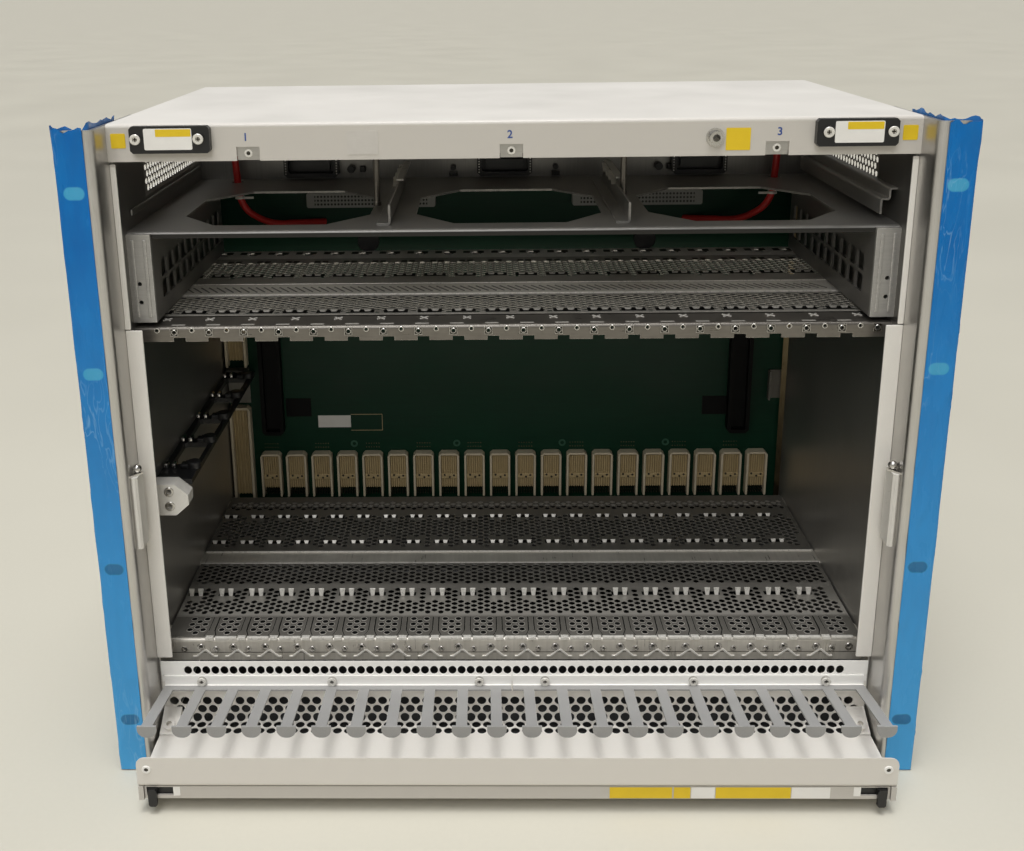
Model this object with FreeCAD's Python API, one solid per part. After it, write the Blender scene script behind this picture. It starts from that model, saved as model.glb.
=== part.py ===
import FreeCAD, Part
import math
import os

V = FreeCAD.Vector
os.makedirs("parts", exist_ok=True)

# Driving dimensions, millimetres. X runs across the front, Y from front to rear, Z up.
# Y is measured from the plane of the card rails and moved to the middle of the depth at the end.
HEIGHT = 394.0
CHASSIS_WIDTH = 440.0
EAR_REACH = 21.3
SLOT_PITCH = 20.32
REAR_DEPTH = 214.5
LIP_FRONT = -13.9
EAR_FRONT = -35.05
TROUGH_FRONT = -71.7
LATCH_FRONT = -73.0

SHEET = 1.2
WALL = 1.5
PLATE = 1.0
EAR_SHEET = 2.5
BEND = 1.0
EAR_BEND = 1.5
FILM = 0.3
CLEAR = 0.3

RACK_SLOT_INSET = 8.75
RACK_OUTER_SPACING = 323.85
RACK_INNER_SPACING = 120.65
RACK_CENTRE_Z = 198.2
RACK_SLOT = (11.0, 6.8)
EAR_LEG_REAR = 38.0
EAR_CORNER = 5.0

LIP_HEIGHT = 20.5
FAN_BAY_PITCH = 143.0
FAN_BAY_HEIGHT = 62.8
FAN_REAR_GAP = 38.5
FAN_SHELF_REAR = REAR_DEPTH - FAN_REAR_GAP
FAN_OPENING = (56.0, 32.6, 31.0)
FAN_OPENING_Y = (16.5, 44.0, 97.0, 125.0)
FAN_OPENING_PITCH = 139.7
FAN_PLUG_PITCH = 137.6
LOCK_TAB_WIDTH = 12.0
LOCK_STRIP_END = 9.0
VENT_HOLE = 8.0
VENT_PITCH = 12.8
VENT_ROW_PITCH = 12.0

LOWER_HOLE_Z = 63.0
UPPER_HOLE_DROP = 3.5
HOLE_SHIFT = 7.26
LOWER_RAIL_Z = (53.8, 68.8)
UPPER_CAGE_HEIGHT = 56.3
UPPER_RAIL_HEIGHT = 9.2
LOWER_STEP_Y = 90.3
LOWER_STEP_RISE = 2.2
LOWER_REAR_GAP = 22.5
LOWER_PLATE_REAR = REAR_DEPTH - LOWER_REAR_GAP
UPPER_STEP_Y = 60.3
UPPER_STEP_RISE = 2.1
UPPER_PLATE_GAP = 64.5
UPPER_PLATE_REAR = REAR_DEPTH - UPPER_PLATE_GAP
UPPER_RAIL_GAP = 34.5
UPPER_RAIL_REAR = REAR_DEPTH - UPPER_RAIL_GAP
CAGE_PLATE_X = 205.0
CAGE_WINDOW = (11.5, 10.5)
CAGE_WINDOW_PITCH = 15.0

BOARD_GAP = 7.5
BOARD_FRONT = REAR_DEPTH - BOARD_GAP
BOARD_THICKNESS = 2.4
CONNECTOR_DEPTH = 8.0
CONNECTOR_WIDTH = 16.2
CONNECTOR_Z = (69.0, 105.8)
CONNECTOR_SHIFT = -3.63
CONTROL_RISE = (2.5, 82.5, 116.0, 152.0)
POWER_RISE = (59.0, 149.0)
POWER_INSET = 37.0

INTAKE_FRONT = -12.0
INTAKE_TOP = 61.0
INTAKE_HOLES = 72
INTAKE_PITCH = 5.68
INTAKE_HOLE = 4.7
TROUGH_FLOOR_Z = 19.2
TROUGH_LIP_Z = 37.7
GUSSET = (15.0, 9.0)
COMB_Z = 43.6
COMB_FLANGE = 7.6
FINGER_WIDTH = 6.5
FINGER_TIP_Y = -61.6
FINGER_TIP_Z = 51.9
FINGER_LIP = (11.3, 7.4)

DRAWER_Z = 9.4
DRAWER_DEPTH = 240.0
MAT_THICKNESS = 5.0
LEAD_DIAMETER = 4.8

half = CHASSIS_WIDTH / 2
wall_in = half - WALL
cover_under = HEIGHT - SHEET
shelf_z = HEIGHT - FAN_BAY_HEIGHT
upper_top = shelf_z - UPPER_CAGE_HEIGHT
upper_low = upper_top - UPPER_RAIL_HEIGHT
slots = int(2 * wall_in // SLOT_PITCH)
slot_x = [(k - (slots - 1) / 2) * SLOT_PITCH for k in range(slots)]
rack_z = [RACK_CENTRE_Z + side * span / 2
          for span in (RACK_OUTER_SPACING, RACK_INNER_SPACING) for side in (-1, 1)]
bay_x = [k * FAN_BAY_PITCH for k in (-1, 0, 1)]
rail_y = -(REAR_DEPTH + LATCH_FRONT) / 2

nodes = {}
NORMAL = {"XY": V(0, 0, 1), "XZ": V(0, 1, 0), "YZ": V(1, 0, 0)}


def at(plane, a, b, level):
    """A point given by its two coordinates in a plane and the plane's level."""
    if plane == "XY":
        return V(a, b, level)
    if plane == "XZ":
        return V(a, level, b)
    return V(level, a, b)


def box(x, y, z):
    """A block between three pairs of limits."""
    return Part.makeBox(x[1] - x[0], y[1] - y[0], z[1] - z[0], V(x[0], y[0], z[0]))


def outline(plane, level, points):
    """A closed outline with straight sides."""
    corners = [at(plane, a, b, level) for a, b in points]
    return Part.makePolygon(corners + corners[:1])


def rectangle(plane, level, a, b):
    """A rectangular outline between two pairs of limits."""
    return outline(plane, level, [(a[0], b[0]), (a[1], b[0]), (a[1], b[1]), (a[0], b[1])])


def chamfered(plane, level, a, b, cut):
    """A rectangular outline with its four corners cut off."""
    return outline(plane, level, [(a[0] + cut, b[0]), (a[1] - cut, b[0]), (a[1], b[0] + cut),
                                  (a[1], b[1] - cut), (a[1] - cut, b[1]), (a[0] + cut, b[1]),
                                  (a[0], b[1] - cut), (a[0], b[0] + cut)])


def round_hole(plane, level, centre, diameter):
    """A circular outline."""
    return Part.Wire(Part.makeCircle(diameter / 2, at(plane, *centre, level), NORMAL[plane]))


def punched(plane, level, centre, diameter):
    """A small punched hole of a long row, drawn with six sides."""
    ring = [(centre[0] + diameter / 2 * math.cos(k * math.pi / 3),
             centre[1] + diameter / 2 * math.sin(k * math.pi / 3)) for k in range(6)]
    return outline(plane, level, ring)


def oblong(plane, level, centre, length, height):
    """A slot outline with round ends."""
    r = height / 2
    a0, a1 = centre[0] - length / 2 + r, centre[0] + length / 2 - r
    b0, b1 = centre[1] - r, centre[1] + r
    p = [at(plane, *q, level) for q in ((a0, b0), (a1, b0), (a1 + r, centre[1]), (a1, b1),
                                        (a0, b1), (a0 - r, centre[1]))]
    edges = [Part.makeLine(p[0], p[1]), Part.Arc(p[1], p[2], p[3]).toShape(),
             Part.makeLine(p[3], p[4]), Part.Arc(p[4], p[5], p[0]).toShape()]
    return Part.Wire(edges)


def slab(plane, outer, thickness, holes=()):
    """A flat plate: an outline with holes, given its thickness along the plane's normal."""
    face = Part.makeFace([outer] + list(holes), "Part::FaceMakerBullseye")
    return face.extrude(NORMAL[plane] * thickness)


def directions(points):
    """Unit vectors along the runs of a path."""
    result = []
    for p, q in zip(points, points[1:]):
        length = math.hypot(q[0] - p[0], q[1] - p[1])
        result.append(((q[0] - p[0]) / length, (q[1] - p[1]) / length))
    return result


def shifted(points, distance):
    """The path moved to its left-hand side, with mitred corners."""
    run = directions(points)
    normal = [(-d[1], d[0]) for d in run]
    normal = [normal[0]] + normal + [normal[-1]]
    result = []
    for p, m, n in zip(points, normal, normal[1:]):
        k = distance / (1 + m[0] * n[0] + m[1] * n[1])
        result.append((p[0] + k * (m[0] + n[0]), p[1] + k * (m[1] + n[1])))
    return result


def rounded(plane, level, points, radii):
    """Edges of a path whose corners are rounded by tangent arcs."""
    run = directions(points)
    edges = []
    start = points[0]
    for p, d, e, r in zip(points[1:-1], run, run[1:], radii):
        turn = abs(math.atan2(d[0] * e[1] - d[1] * e[0], d[0] * e[0] + d[1] * e[1]))
        if r <= 0 or turn < 1e-6:
            edges.append((start, p))
            start = p
            continue
        back = r * math.tan(turn / 2)
        t0 = (p[0] - d[0] * back, p[1] - d[1] * back)
        t1 = (p[0] + e[0] * back, p[1] + e[1] * back)
        reach = (r / math.cos(turn / 2) - r) / math.hypot(e[0] - d[0], e[1] - d[1])
        middle = (p[0] + (e[0] - d[0]) * reach, p[1] + (e[1] - d[1]) * reach)
        edges.append((start, t0))
        edges.append((t0, middle, t1))
        start = t1
    edges.append((start, points[-1]))
    shapes = []
    for edge in edges:
        ends = [at(plane, *q, level) for q in edge]
        shapes.append(Part.Arc(*ends).toShape() if len(ends) == 3 else Part.makeLine(*ends))
    return shapes


def folded(plane, points, thickness, span, bends=BEND):
    """Folded sheet: a path in the plane, thickened to its left, drawn out between two levels.

    The path is one face of the sheet. bends are the inner bend radii, one for all or one a corner.
    """
    corners = len(points) - 2
    inner = list(bends) if isinstance(bends, (list, tuple)) else [bends] * corners
    run = directions(points)
    near, far = [], []
    for d, e, r in zip(run, run[1:], inner):
        left = d[0] * e[1] - d[1] * e[0] > 0
        near.append(r + thickness if left else r)
        far.append(r if left else r + thickness)
    other = shifted(points, thickness)
    edges = rounded(plane, span[0], points, near) + rounded(plane, span[0], other, far)
    for p, q in ((points[0], other[0]), (points[-1], other[-1])):
        edges.append(Part.makeLine(at(plane, *p, span[0]), at(plane, *q, span[0])))
    wire = Part.Wire(Part.__sortEdges__(edges))
    return Part.Face(wire).extrude(NORMAL[plane] * (span[1] - span[0]))


def rod(base, axis, diameter, length):
    """A round bar from a point along an axis."""
    return Part.makeCylinder(diameter / 2, length, base, axis)


def joined(shapes):
    """Several solids made one piece."""
    return shapes[0].fuse(shapes[1:]).removeSplitter()


def cut(shape, tools):
    """A piece with openings made by several tools."""
    return shape.cut(Part.makeCompound(tools)).removeSplitter()


def mirrored(shape):
    """The piece of the other side."""
    return shape.mirror(V(0, 0, 0), V(1, 0, 0))


def group(shapes):
    """Separate solids that share a node."""
    return Part.makeCompound(shapes)


# Top cover: one sheet with a front lip and a short rear flange; the lip is cut for the lock tabs.
lip_z = HEIGHT - LIP_HEIGHT
lip_back = LIP_FRONT + SHEET
tab_z = lip_z + 7.6
screw_z = HEIGHT - 7.6
cover_screw_x = [side * x for side in (-1, 1) for x in (half - 51.7, half - 17.6)]
earth_at = (half / 2 - 0.5, HEIGHT - 10.4)
cover = folded("YZ", [(LIP_FRONT, lip_z), (LIP_FRONT, HEIGHT), (REAR_DEPTH, HEIGHT),
                      (REAR_DEPTH, HEIGHT - 12)][::-1], SHEET, (-half, half))
tools = [box((x - LOCK_TAB_WIDTH / 2 - 0.3, x + LOCK_TAB_WIDTH / 2 + 0.3), (LIP_FRONT - 1, lip_back + 1),
             (lip_z - 1, tab_z)) for x in bay_x]
tools += [rod(V(x, LIP_FRONT - 1, screw_z), V(0, 1, 0), 3.4, SHEET + 2) for x in cover_screw_x]
tools.append(rod(V(earth_at[0], LIP_FRONT - 1, earth_at[1]), V(0, 1, 0), 6.4, SHEET + 2))
nodes["top_cover"] = cut(cover, tools)

# Lock strip behind the lip: a long bar with one tab a fan bay, each with a threaded hole.
strip_x = FAN_BAY_PITCH + LOCK_TAB_WIDTH / 2 + LOCK_STRIP_END
strip = [(-strip_x, tab_z - 5), (-strip_x, HEIGHT - 3), (strip_x, HEIGHT - 3), (strip_x, tab_z - 5)]
for x in bay_x[::-1]:
    w = LOCK_TAB_WIDTH / 2
    strip += [(x + w, tab_z - 5), (x + w, lip_z + 0.3), (x - w, lip_z + 0.3), (x - w, tab_z - 5)]
strip_holes = [round_hole("XZ", lip_back, (x, lip_z + 4), 3.0) for x in bay_x]
strip_holes.append(round_hole("XZ", lip_back, earth_at, 12.0))
strip_cuts = [rod(V(x, lip_back - 1, screw_z), V(0, 1, 0), 3.4, PLATE + 2) for x in cover_screw_x]
nodes["fan_lock_strip"] = cut(slab("XZ", outline("XZ", lip_back, strip), PLATE, strip_holes), strip_cuts)

# Terminal covers: moulded caps screwed to the lip; the right one mirrors the left one.
cap_x = (-half + 14, -half + 57.5)
cap_z = (lip_z + 5, HEIGHT - 0.8)
cap_front = LIP_FRONT - 4.5
cap_screws = [x for x in cover_screw_x if x < 0]
cap = slab("XZ", chamfered("XZ", cap_front, cap_x, cap_z, 1.5), LIP_FRONT - cap_front,
           [round_hole("XZ", cap_front, (x, screw_z), 3.4) for x in cap_screws])
nodes["terminal_cover_left"] = cap
nodes["terminal_cover_right"] = mirrored(cap)
nodes["terminal_cover_screws"] = group([
    joined([rod(V(x, cap_front - 1.6, screw_z), V(0, 1, 0), 5.6, 1.6),
            rod(V(x, cap_front, screw_z), V(0, 1, 0), 3.0, 9.0)]) for x in cover_screw_x])

# Earth socket: turned bush through the lip, with a flange in front and a nut behind.
bush_y = [LIP_FRONT - 4, LIP_FRONT - 1, LIP_FRONT, lip_back, lip_back + 3, lip_back + 5]
bush_r = [(2.0, bush_y[0]), (3.6, bush_y[0]), (3.6, bush_y[1]), (5.0, bush_y[1]), (5.0, bush_y[2]),
          (3.0, bush_y[2]), (3.0, bush_y[3]), (4.6, bush_y[3]), (4.6, bush_y[4]), (3.0, bush_y[4]),
          (3.0, bush_y[5]), (2.0, bush_y[5])]
ring = Part.makePolygon([V(earth_at[0] + r, y, earth_at[1]) for r, y in bush_r + bush_r[:1]])
nodes["earth_socket"] = Part.Face(ring).revolve(V(earth_at[0], 0, earth_at[1]), V(0, 1, 0), 360)

# Side walls: sheets folded in at the front (wide beside the cards, narrow beside the upper bays) and
# at the top, with a field of round vents beside the fans.
strip_front = LIP_FRONT + 0.9
seam_z = upper_top + 2.1
fold_low = LOWER_RAIL_Z[1] - 4.8
vent_y = (46.0, FAN_SHELF_REAR - 8)
vent_z = shelf_z + 22


def side_wall():
    """The left-hand wall without what is pressed into it."""
    columns = int((vent_y[1] - vent_y[0]) / VENT_PITCH + 0.5)
    rows = int((cover_under - WALL - vent_z) // VENT_ROW_PITCH)
    vents = [punched("YZ", -half, (vent_y[0] + (k + row % 2 / 2) * VENT_PITCH,
                                   vent_z + row * VENT_ROW_PITCH), VENT_HOLE)
             for row in range(rows) for k in range(columns)]
    front = strip_front + WALL
    rear = REAR_DEPTH - WALL
    flat = [(front, 0.5), (rear, 0.5), (rear, cover_under - 1.5), (rear - 1.5, cover_under),
            (front, cover_under)]
    wall = slab("YZ", outline("YZ", -half, flat), WALL, vents)
    parts = [wall]
    for z, width in (((fold_low, seam_z), 9.5), ((seam_z, lip_z - 1.5), 3.2)):
        path = [(-half, front + 6), (-half, strip_front), (-half + width, strip_front)]
        parts.append(folded("XY", path, WALL, z, 0.5))
    parts.append(box((-half, -half + 12), (0, REAR_DEPTH - 10), (cover_under - WALL, cover_under)))
    return joined(parts)


blank_wall = side_wall()
rib_z = shelf_z + 10
rib = folded("XZ", [(-wall_in, rib_z + 4), (-wall_in + 2, rib_z + 2), (-wall_in + 2, rib_z - 2),
                    (-wall_in, rib_z - 4)], 1.0, (9, FAN_SHELF_REAR - 9), 0.4)
nodes["left_side_wall"] = joined([blank_wall, rib])
nodes["right_side_wall"] = mirrored(blank_wall)

# Base pan: floor sheet folded up at both sides and in again, so that the filter drawer runs on the
# two inner ledges.
ledge = DRAWER_Z - CLEAR
ledge_in = wall_in - 14
pan = [(ledge_in, ledge), (wall_in, ledge), (wall_in, 0), (-wall_in, 0), (-wall_in, ledge),
       (-ledge_in, ledge)]
nodes["base_pan"] = folded("XZ", pan[::-1], SHEET, (TROUGH_FRONT + 13.7, REAR_DEPTH - WALL), 0.6)

# Rear panel: closes the back below the rear flange of the cover.
nodes["rear_panel"] = box((-half, half), (REAR_DEPTH - WALL, REAR_DEPTH), (0.5, HEIGHT - 12.2))

# Rack ears: angles with four slots each and cut-off flange corners, screwed to the side walls.
ear_x = half + EAR_REACH
ear_z = (0.5, HEIGHT - 0.5)
rack_x = ear_x - RACK_SLOT_INSET
ear_path = [(half, EAR_LEG_REAR), (half, EAR_FRONT), (ear_x, EAR_FRONT)]
ear_screw_at = [(y, z) for y in (EAR_LEG_REAR - 20, EAR_LEG_REAR - 8)
                for z in (60.0, HEIGHT / 2, HEIGHT - 60)]


def corner_tools():
    """Wedges that cut the two outer corners off the right-hand ear flange."""
    wedges = []
    for z, up in ((ear_z[0], 1), (ear_z[1], -1)):
        points = [(ear_x + 1, z - up), (ear_x + 1, z + up * EAR_CORNER), (ear_x, z + up * EAR_CORNER),
                  (ear_x - EAR_CORNER, z), (ear_x - EAR_CORNER, z - up)]
        wedges.append(slab("XZ", outline("XZ", EAR_FRONT - 2, points), 8))
    return wedges


def slot_tools(grow):
    """Cutters for the rack slots of the right-hand ear."""
    length, width = RACK_SLOT
    return [slab("XZ", oblong("XZ", EAR_FRONT - 2, (rack_x, z), length + grow, width + grow), 8)
            for z in rack_z]


ear = folded("XY", ear_path, EAR_SHEET, ear_z, EAR_BEND)
tools = corner_tools() + slot_tools(0)
tools += [rod(V(half - 1, y, z), V(1, 0, 0), 4.4, EAR_SHEET + 2) for y, z in ear_screw_at]
ear = cut(ear, tools)
nodes["rack_ear_right"] = ear
nodes["rack_ear_left"] = mirrored(ear)
screw = [joined([rod(V(half + EAR_SHEET, y, z), V(1, 0, 0), 8.0, 2.0),
                 rod(V(half, y, z), V(1, 0, 0), 4.0, EAR_SHEET)]) for y, z in ear_screw_at]
nodes["ear_screws"] = group(screw + [mirrored(s) for s in screw])

# Protective film: wrapped round the ear flange from the front over the edge and back along the leg.
film_in = rack_x - RACK_SLOT[0] / 2 - 1.55
ear_out = half + EAR_SHEET
flange_back = EAR_FRONT + EAR_SHEET
film_path = [(film_in, EAR_FRONT), (ear_x, EAR_FRONT), (ear_x, flange_back), (ear_out, flange_back),
             (ear_out, 12.0)]
film = folded("XY", film_path, -FILM, ear_z, [0, 0, EAR_BEND])
film = cut(film, corner_tools() + slot_tools(2.5))
nodes["protective_film_right"] = film
nodes["protective_film_left"] = mirrored(film)

# Front-cover latches: a moulded bar on the inner face of each ear leg, with a catch plate and ball on
# its upper end.
latch_z = (LOWER_HOLE_Z + 85, LOWER_HOLE_Z + 130)
latch_y = (EAR_FRONT + 5, EAR_FRONT + 18)
bar = slab("XY", chamfered("XY", latch_z[0], (half - 4, half), latch_y, 1.2), latch_z[1] - latch_z[0])
latch_mid = sum(latch_y) / 2
tongue = [(half, latch_y[0]), (half, latch_y[1]), (half - 6, latch_mid)]
plate = slab("XY", outline("XY", latch_z[1], tongue), 1.2)
ball = Part.makeSphere(2.6, V(half - 2.7, latch_mid, latch_z[1] + 3.4))
catch = joined([plate, ball, rod(V(half - 2.7, latch_mid, latch_z[1] + 0.6), V(0, 0, 1), 2.4, 2.0)])
nodes["cover_latch_bar_right"] = bar
nodes["cover_latch_bar_left"] = mirrored(bar)
nodes["cover_catch_right"] = catch
nodes["cover_catch_left"] = mirrored(catch)

# Fan shelf: plate with a turned-down front edge, an eight-sided cut-out below each fan and a hole for
# each power lead.
shelf_x = wall_in
wide, front_half, back_half = FAN_OPENING
y0, y1, y2, y3 = FAN_OPENING_Y
shelf = folded("YZ", [(1, shelf_z - 4), (1, shelf_z), (FAN_SHELF_REAR, shelf_z)][::-1],
               SHEET, (-shelf_x, shelf_x))
tools = []
for x in (-FAN_OPENING_PITCH, 0, FAN_OPENING_PITCH):
    octagon = [(x - front_half, y0), (x + front_half, y0), (x + wide, y1), (x + wide, y2),
               (x + back_half, y3), (x - back_half, y3), (x - wide, y2), (x - wide, y1)]
    tools.append(slab("XY", outline("XY", shelf_z - 3, octagon), 6))
tools += [box(sorted((side * (CAGE_PLATE_X - CLEAR), side * half)), (-1, 4),
              (shelf_z - 6, shelf_z - SHEET)) for side in (-1, 1)]
lead_hole = V(half - 30.1, FAN_SHELF_REAR - 11.2, shelf_z - 3)
tools += [rod(V(side * lead_hole.x, lead_hole.y, lead_hole.z), V(0, 0, 1), LEAD_DIAMETER + 4, 6)
          for side in (-1, 1)]
nodes["fan_shelf"] = cut(shelf, tools)

# Guide angles between the fan bays, support rods beside them, and the stepped runner on the right wall.
guide_x = FAN_BAY_PITCH / 2 - 2.5
for side, name in ((-1, "fan_guide_left"), (1, "fan_guide_right")):
    x = side * guide_x
    angle = [(x - 8, shelf_z), (x, shelf_z), (x, shelf_z + 12)]
    nodes[name] = folded("XZ", angle, SHEET, (13, FAN_SHELF_REAR - 24), 0.6)
rods = []
for x in (-guide_x - 13, guide_x + 3):
    foot = V(x, 73, shelf_z)
    rods.append(joined([rod(foot, V(0, 0, 1), 5.0, 2.5),
                        rod(foot, V(0, 0, 1), 4.0, cover_under - shelf_z)]))
nodes["support_rods"] = group(rods)
runner_z = (shelf_z + 4.5, shelf_z + 19.5)
nodes["fan_runner"] = folded("XZ", [(wall_in, runner_z[1]), (wall_in - 4.5, runner_z[1]),
                                    (wall_in - 4.5, runner_z[1] - 6), (wall_in - 9, runner_z[1] - 6),
                                    (wall_in - 9, runner_z[0])],
                             PLATE, (10, FAN_SHELF_REAR - 4), 0.6)

# Rear wall of the fan bays with one connector a fan.
fan_wall = rectangle("XZ", FAN_SHELF_REAR, (-wall_in, wall_in), (shelf_z - SHEET, cover_under - WALL))
plug_x = (-FAN_PLUG_PITCH, 0, FAN_PLUG_PITCH)
fan_wall_holes = [chamfered("XZ", FAN_SHELF_REAR, (x - 16, x + 16), (shelf_z + 4.5, shelf_z + 16), 2)
                  for x in plug_x]
nodes["fan_bay_wall"] = slab("XZ", fan_wall, SHEET, fan_wall_holes)
fan_plugs = []
for x in plug_x:
    z = (shelf_z + 2, shelf_z + 18.5)
    shell = slab("XZ", chamfered("XZ", FAN_SHELF_REAR - 9, (x - 19.5, x + 19.5), z, 2.5), 9,
                 [chamfered("XZ", FAN_SHELF_REAR - 9, (x - 16.5, x + 16.5), (z[0] + 3, z[1] - 3), 1.5)])
    core = box((x - 13, x + 13), (FAN_SHELF_REAR - 6, FAN_SHELF_REAR), (z[0] + 5, z[1] - 5))
    web = box((x - 16.5, x + 16.5), (FAN_SHELF_REAR - 1.5, FAN_SHELF_REAR), (z[0] + 3, z[1] - 3))
    fan_plugs.append(joined([shell, web, core]))
nodes["fan_connectors"] = group(fan_plugs)

# Cross rails of the two card cages: angles with a row of threaded holes and a row of plain holes.
rail_t = WALL
upper_hole_z = upper_top - UPPER_HOLE_DROP


def hole_tools(hole_z, plain_z):
    """Cutters for the two hole rows along a front rail."""
    threaded = [slab("XZ", punched("XZ", -2, (x + HOLE_SHIFT, hole_z), 2.6), 6) for x in slot_x]
    plain = [slab("XZ", punched("XZ", -2, (x + HOLE_SHIFT - SLOT_PITCH / 2, plain_z), 2.2), 6)
             for x in slot_x]
    return threaded + plain


def cross_rail(path):
    """A rail folded from sheet, its upper face along the path, from wall to wall."""
    return folded("YZ", path, rail_t, (-wall_in, wall_in), 0.8)


lower_top = LOWER_RAIL_Z[1]
front_rail = cross_rail([(16, lower_top), (0, lower_top), (0, LOWER_RAIL_Z[0])])
nodes["bottom_front_rail"] = cut(front_rail, hole_tools(LOWER_HOLE_Z, LOWER_HOLE_Z - 1.4))
front_rail = cross_rail([(24, upper_top), (0, upper_top), (0, upper_low)])
notch_w = 3.5
tools = hole_tools(upper_hole_z, upper_hole_z + 1.2)
tools += [box((x - notch_w, x + notch_w), (-1, 3), (upper_low - 1, upper_low + 2.4))
          for x in [s + SLOT_PITCH / 2 for s in slot_x[:-1]]]
nodes["mid_front_rail"] = cut(front_rail, tools)


def step_rail(y, top, rise, reach):
    """A rail with a step, which carries the front plate before it and the rear plate behind it."""
    path = [(y - 7, top - 8), (y - 7, top), (y, top), (y, top + rise), (y + reach, top + rise)]
    return cross_rail(path[::-1])


nodes["bottom_middle_rail"] = step_rail(LOWER_STEP_Y, lower_top, LOWER_STEP_RISE, 18)
nodes["mid_middle_rail"] = step_rail(UPPER_STEP_Y, upper_top, UPPER_STEP_RISE, 28)
lower_high = lower_top + LOWER_STEP_RISE
upper_high = upper_top + UPPER_STEP_RISE
rear_rail = cross_rail([(LOWER_PLATE_REAR, lower_high - 14), (LOWER_PLATE_REAR, lower_high),
                        (LOWER_PLATE_REAR - 12, lower_high)])
nodes["bottom_rear_rail"] = rear_rail
rear_rail = cross_rail([(UPPER_RAIL_REAR, upper_high - 9), (UPPER_RAIL_REAR, upper_high),
                        (UPPER_PLATE_REAR - 8, upper_high)])
tools = [slab("XY", punched("XY", upper_high - 4, (x, (UPPER_PLATE_REAR + UPPER_RAIL_REAR) / 2 + 3), 9), 8)
         for x in slot_x]
nodes["mid_rear_rail"] = cut(rear_rail, tools)


# Guide plates: thin plates on the rails, open below each card for the cooling air.
def guide_plate(y, z, fields, reach, width):
    """A plate with one air window a slot in each field of the depth."""
    windows = [rectangle("XY", z, (x - width / 2, x + width / 2), field)
               for x in slot_x for field in fields]
    return slab("XY", rectangle("XY", z, (-reach, reach), y), PLATE, windows)


plate_x = wall_in - 1.0
window = 0.7 * SLOT_PITCH
rear_bar = (LOWER_STEP_Y + 45.7, LOWER_STEP_Y + 51.7)
nodes["bottom_guide_front"] = guide_plate((1.5, LOWER_STEP_Y - 1.0), lower_top,
                                          [(17, 41), (62, LOWER_STEP_Y - 9)], plate_x, window)
nodes["bottom_guide_rear"] = guide_plate((LOWER_STEP_Y + 12, LOWER_PLATE_REAR), lower_high,
                                         [(LOWER_STEP_Y + 20, rear_bar[0]),
                                          (rear_bar[1], LOWER_PLATE_REAR - 14)],
                                         plate_x, window)
nodes["mid_guide_front"] = guide_plate((19, UPPER_STEP_Y - 1.0), upper_top, [(26, UPPER_STEP_Y - 9)],
                                       plate_x, window)
nodes["mid_guide_rear"] = guide_plate((UPPER_STEP_Y + 22, UPPER_PLATE_REAR), upper_high,
                                      [(UPPER_STEP_Y + 31, UPPER_PLATE_REAR - 10)], plate_x, window)

# Side plates of the upper cage: a slotted plate with a front flange and a top flange under the shelf.
cage_low = upper_high + PLATE
cage_top = shelf_z - SHEET
cage_rear = FAN_SHELF_REAR - 4
deep, high = CAGE_WINDOW
cage_slot_y = [16.0 + CAGE_WINDOW_PITCH * k for k in range(int((cage_rear - 18) // CAGE_WINDOW_PITCH))]
cage_slots = [chamfered("YZ", CAGE_PLATE_X, (y, y + deep), (z, z + high), 1.0)
              for z in (cage_low + 10, cage_low + 12.2 + high) for y in cage_slot_y]
cage = slab("YZ", rectangle("YZ", CAGE_PLATE_X, (-SHEET, cage_rear), (cage_low, cage_top)), SHEET,
            cage_slots)
flange_holes = [round_hole("XZ", -SHEET, (wall_in - 5.5, z), 2.6)
                for z in (cage_low + 23, cage_low + 12)]
cage_flange = rectangle("XZ", -SHEET, (CAGE_PLATE_X, wall_in), (cage_low, cage_top))
cage_side = joined([cage, slab("XZ", cage_flange, SHEET, flange_holes),
                    box((CAGE_PLATE_X, wall_in), (-SHEET, cage_rear), (cage_top - SHEET, cage_top))])
nodes["cage_plate_right"] = cage_side
nodes["cage_plate_left"] = mirrored(cage_side)

# Backplane board on standoffs, and what is plugged or screwed to its face.
board_z = (LOWER_HOLE_Z, shelf_z - 12)
board_x = wall_in - 1.0
nodes["backplane"] = box((-board_x, board_x), (BOARD_FRONT, BOARD_FRONT + BOARD_THICKNESS), board_z)
board_back = BOARD_FRONT + BOARD_THICKNESS
nodes["backplane_standoffs"] = group([
    rod(V(x, board_back, z), V(0, 1, 0), 7.0, REAR_DEPTH - WALL - board_back)
    for x in (-board_x + 20, 0, board_x - 20) for z in (board_z[0] + 12, board_z[1] - 12)])
plug_front = BOARD_FRONT - CONNECTOR_DEPTH


def shrouded(x, z, wall, cut_size):
    """A shell-shaped connector, open to the front, with cut outer corners."""
    outer = chamfered("XZ", plug_front, x, z, cut_size)
    well = rectangle("XZ", plug_front, (x[0] + wall, x[1] - wall), (z[0] + wall, z[1] - wall))
    shell = slab("XZ", outer, CONNECTOR_DEPTH, [well])
    floor = box((x[0] + wall, x[1] - wall), (BOARD_FRONT - 3, BOARD_FRONT), (z[0] + wall, z[1] - wall))
    return joined([shell, floor])


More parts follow.
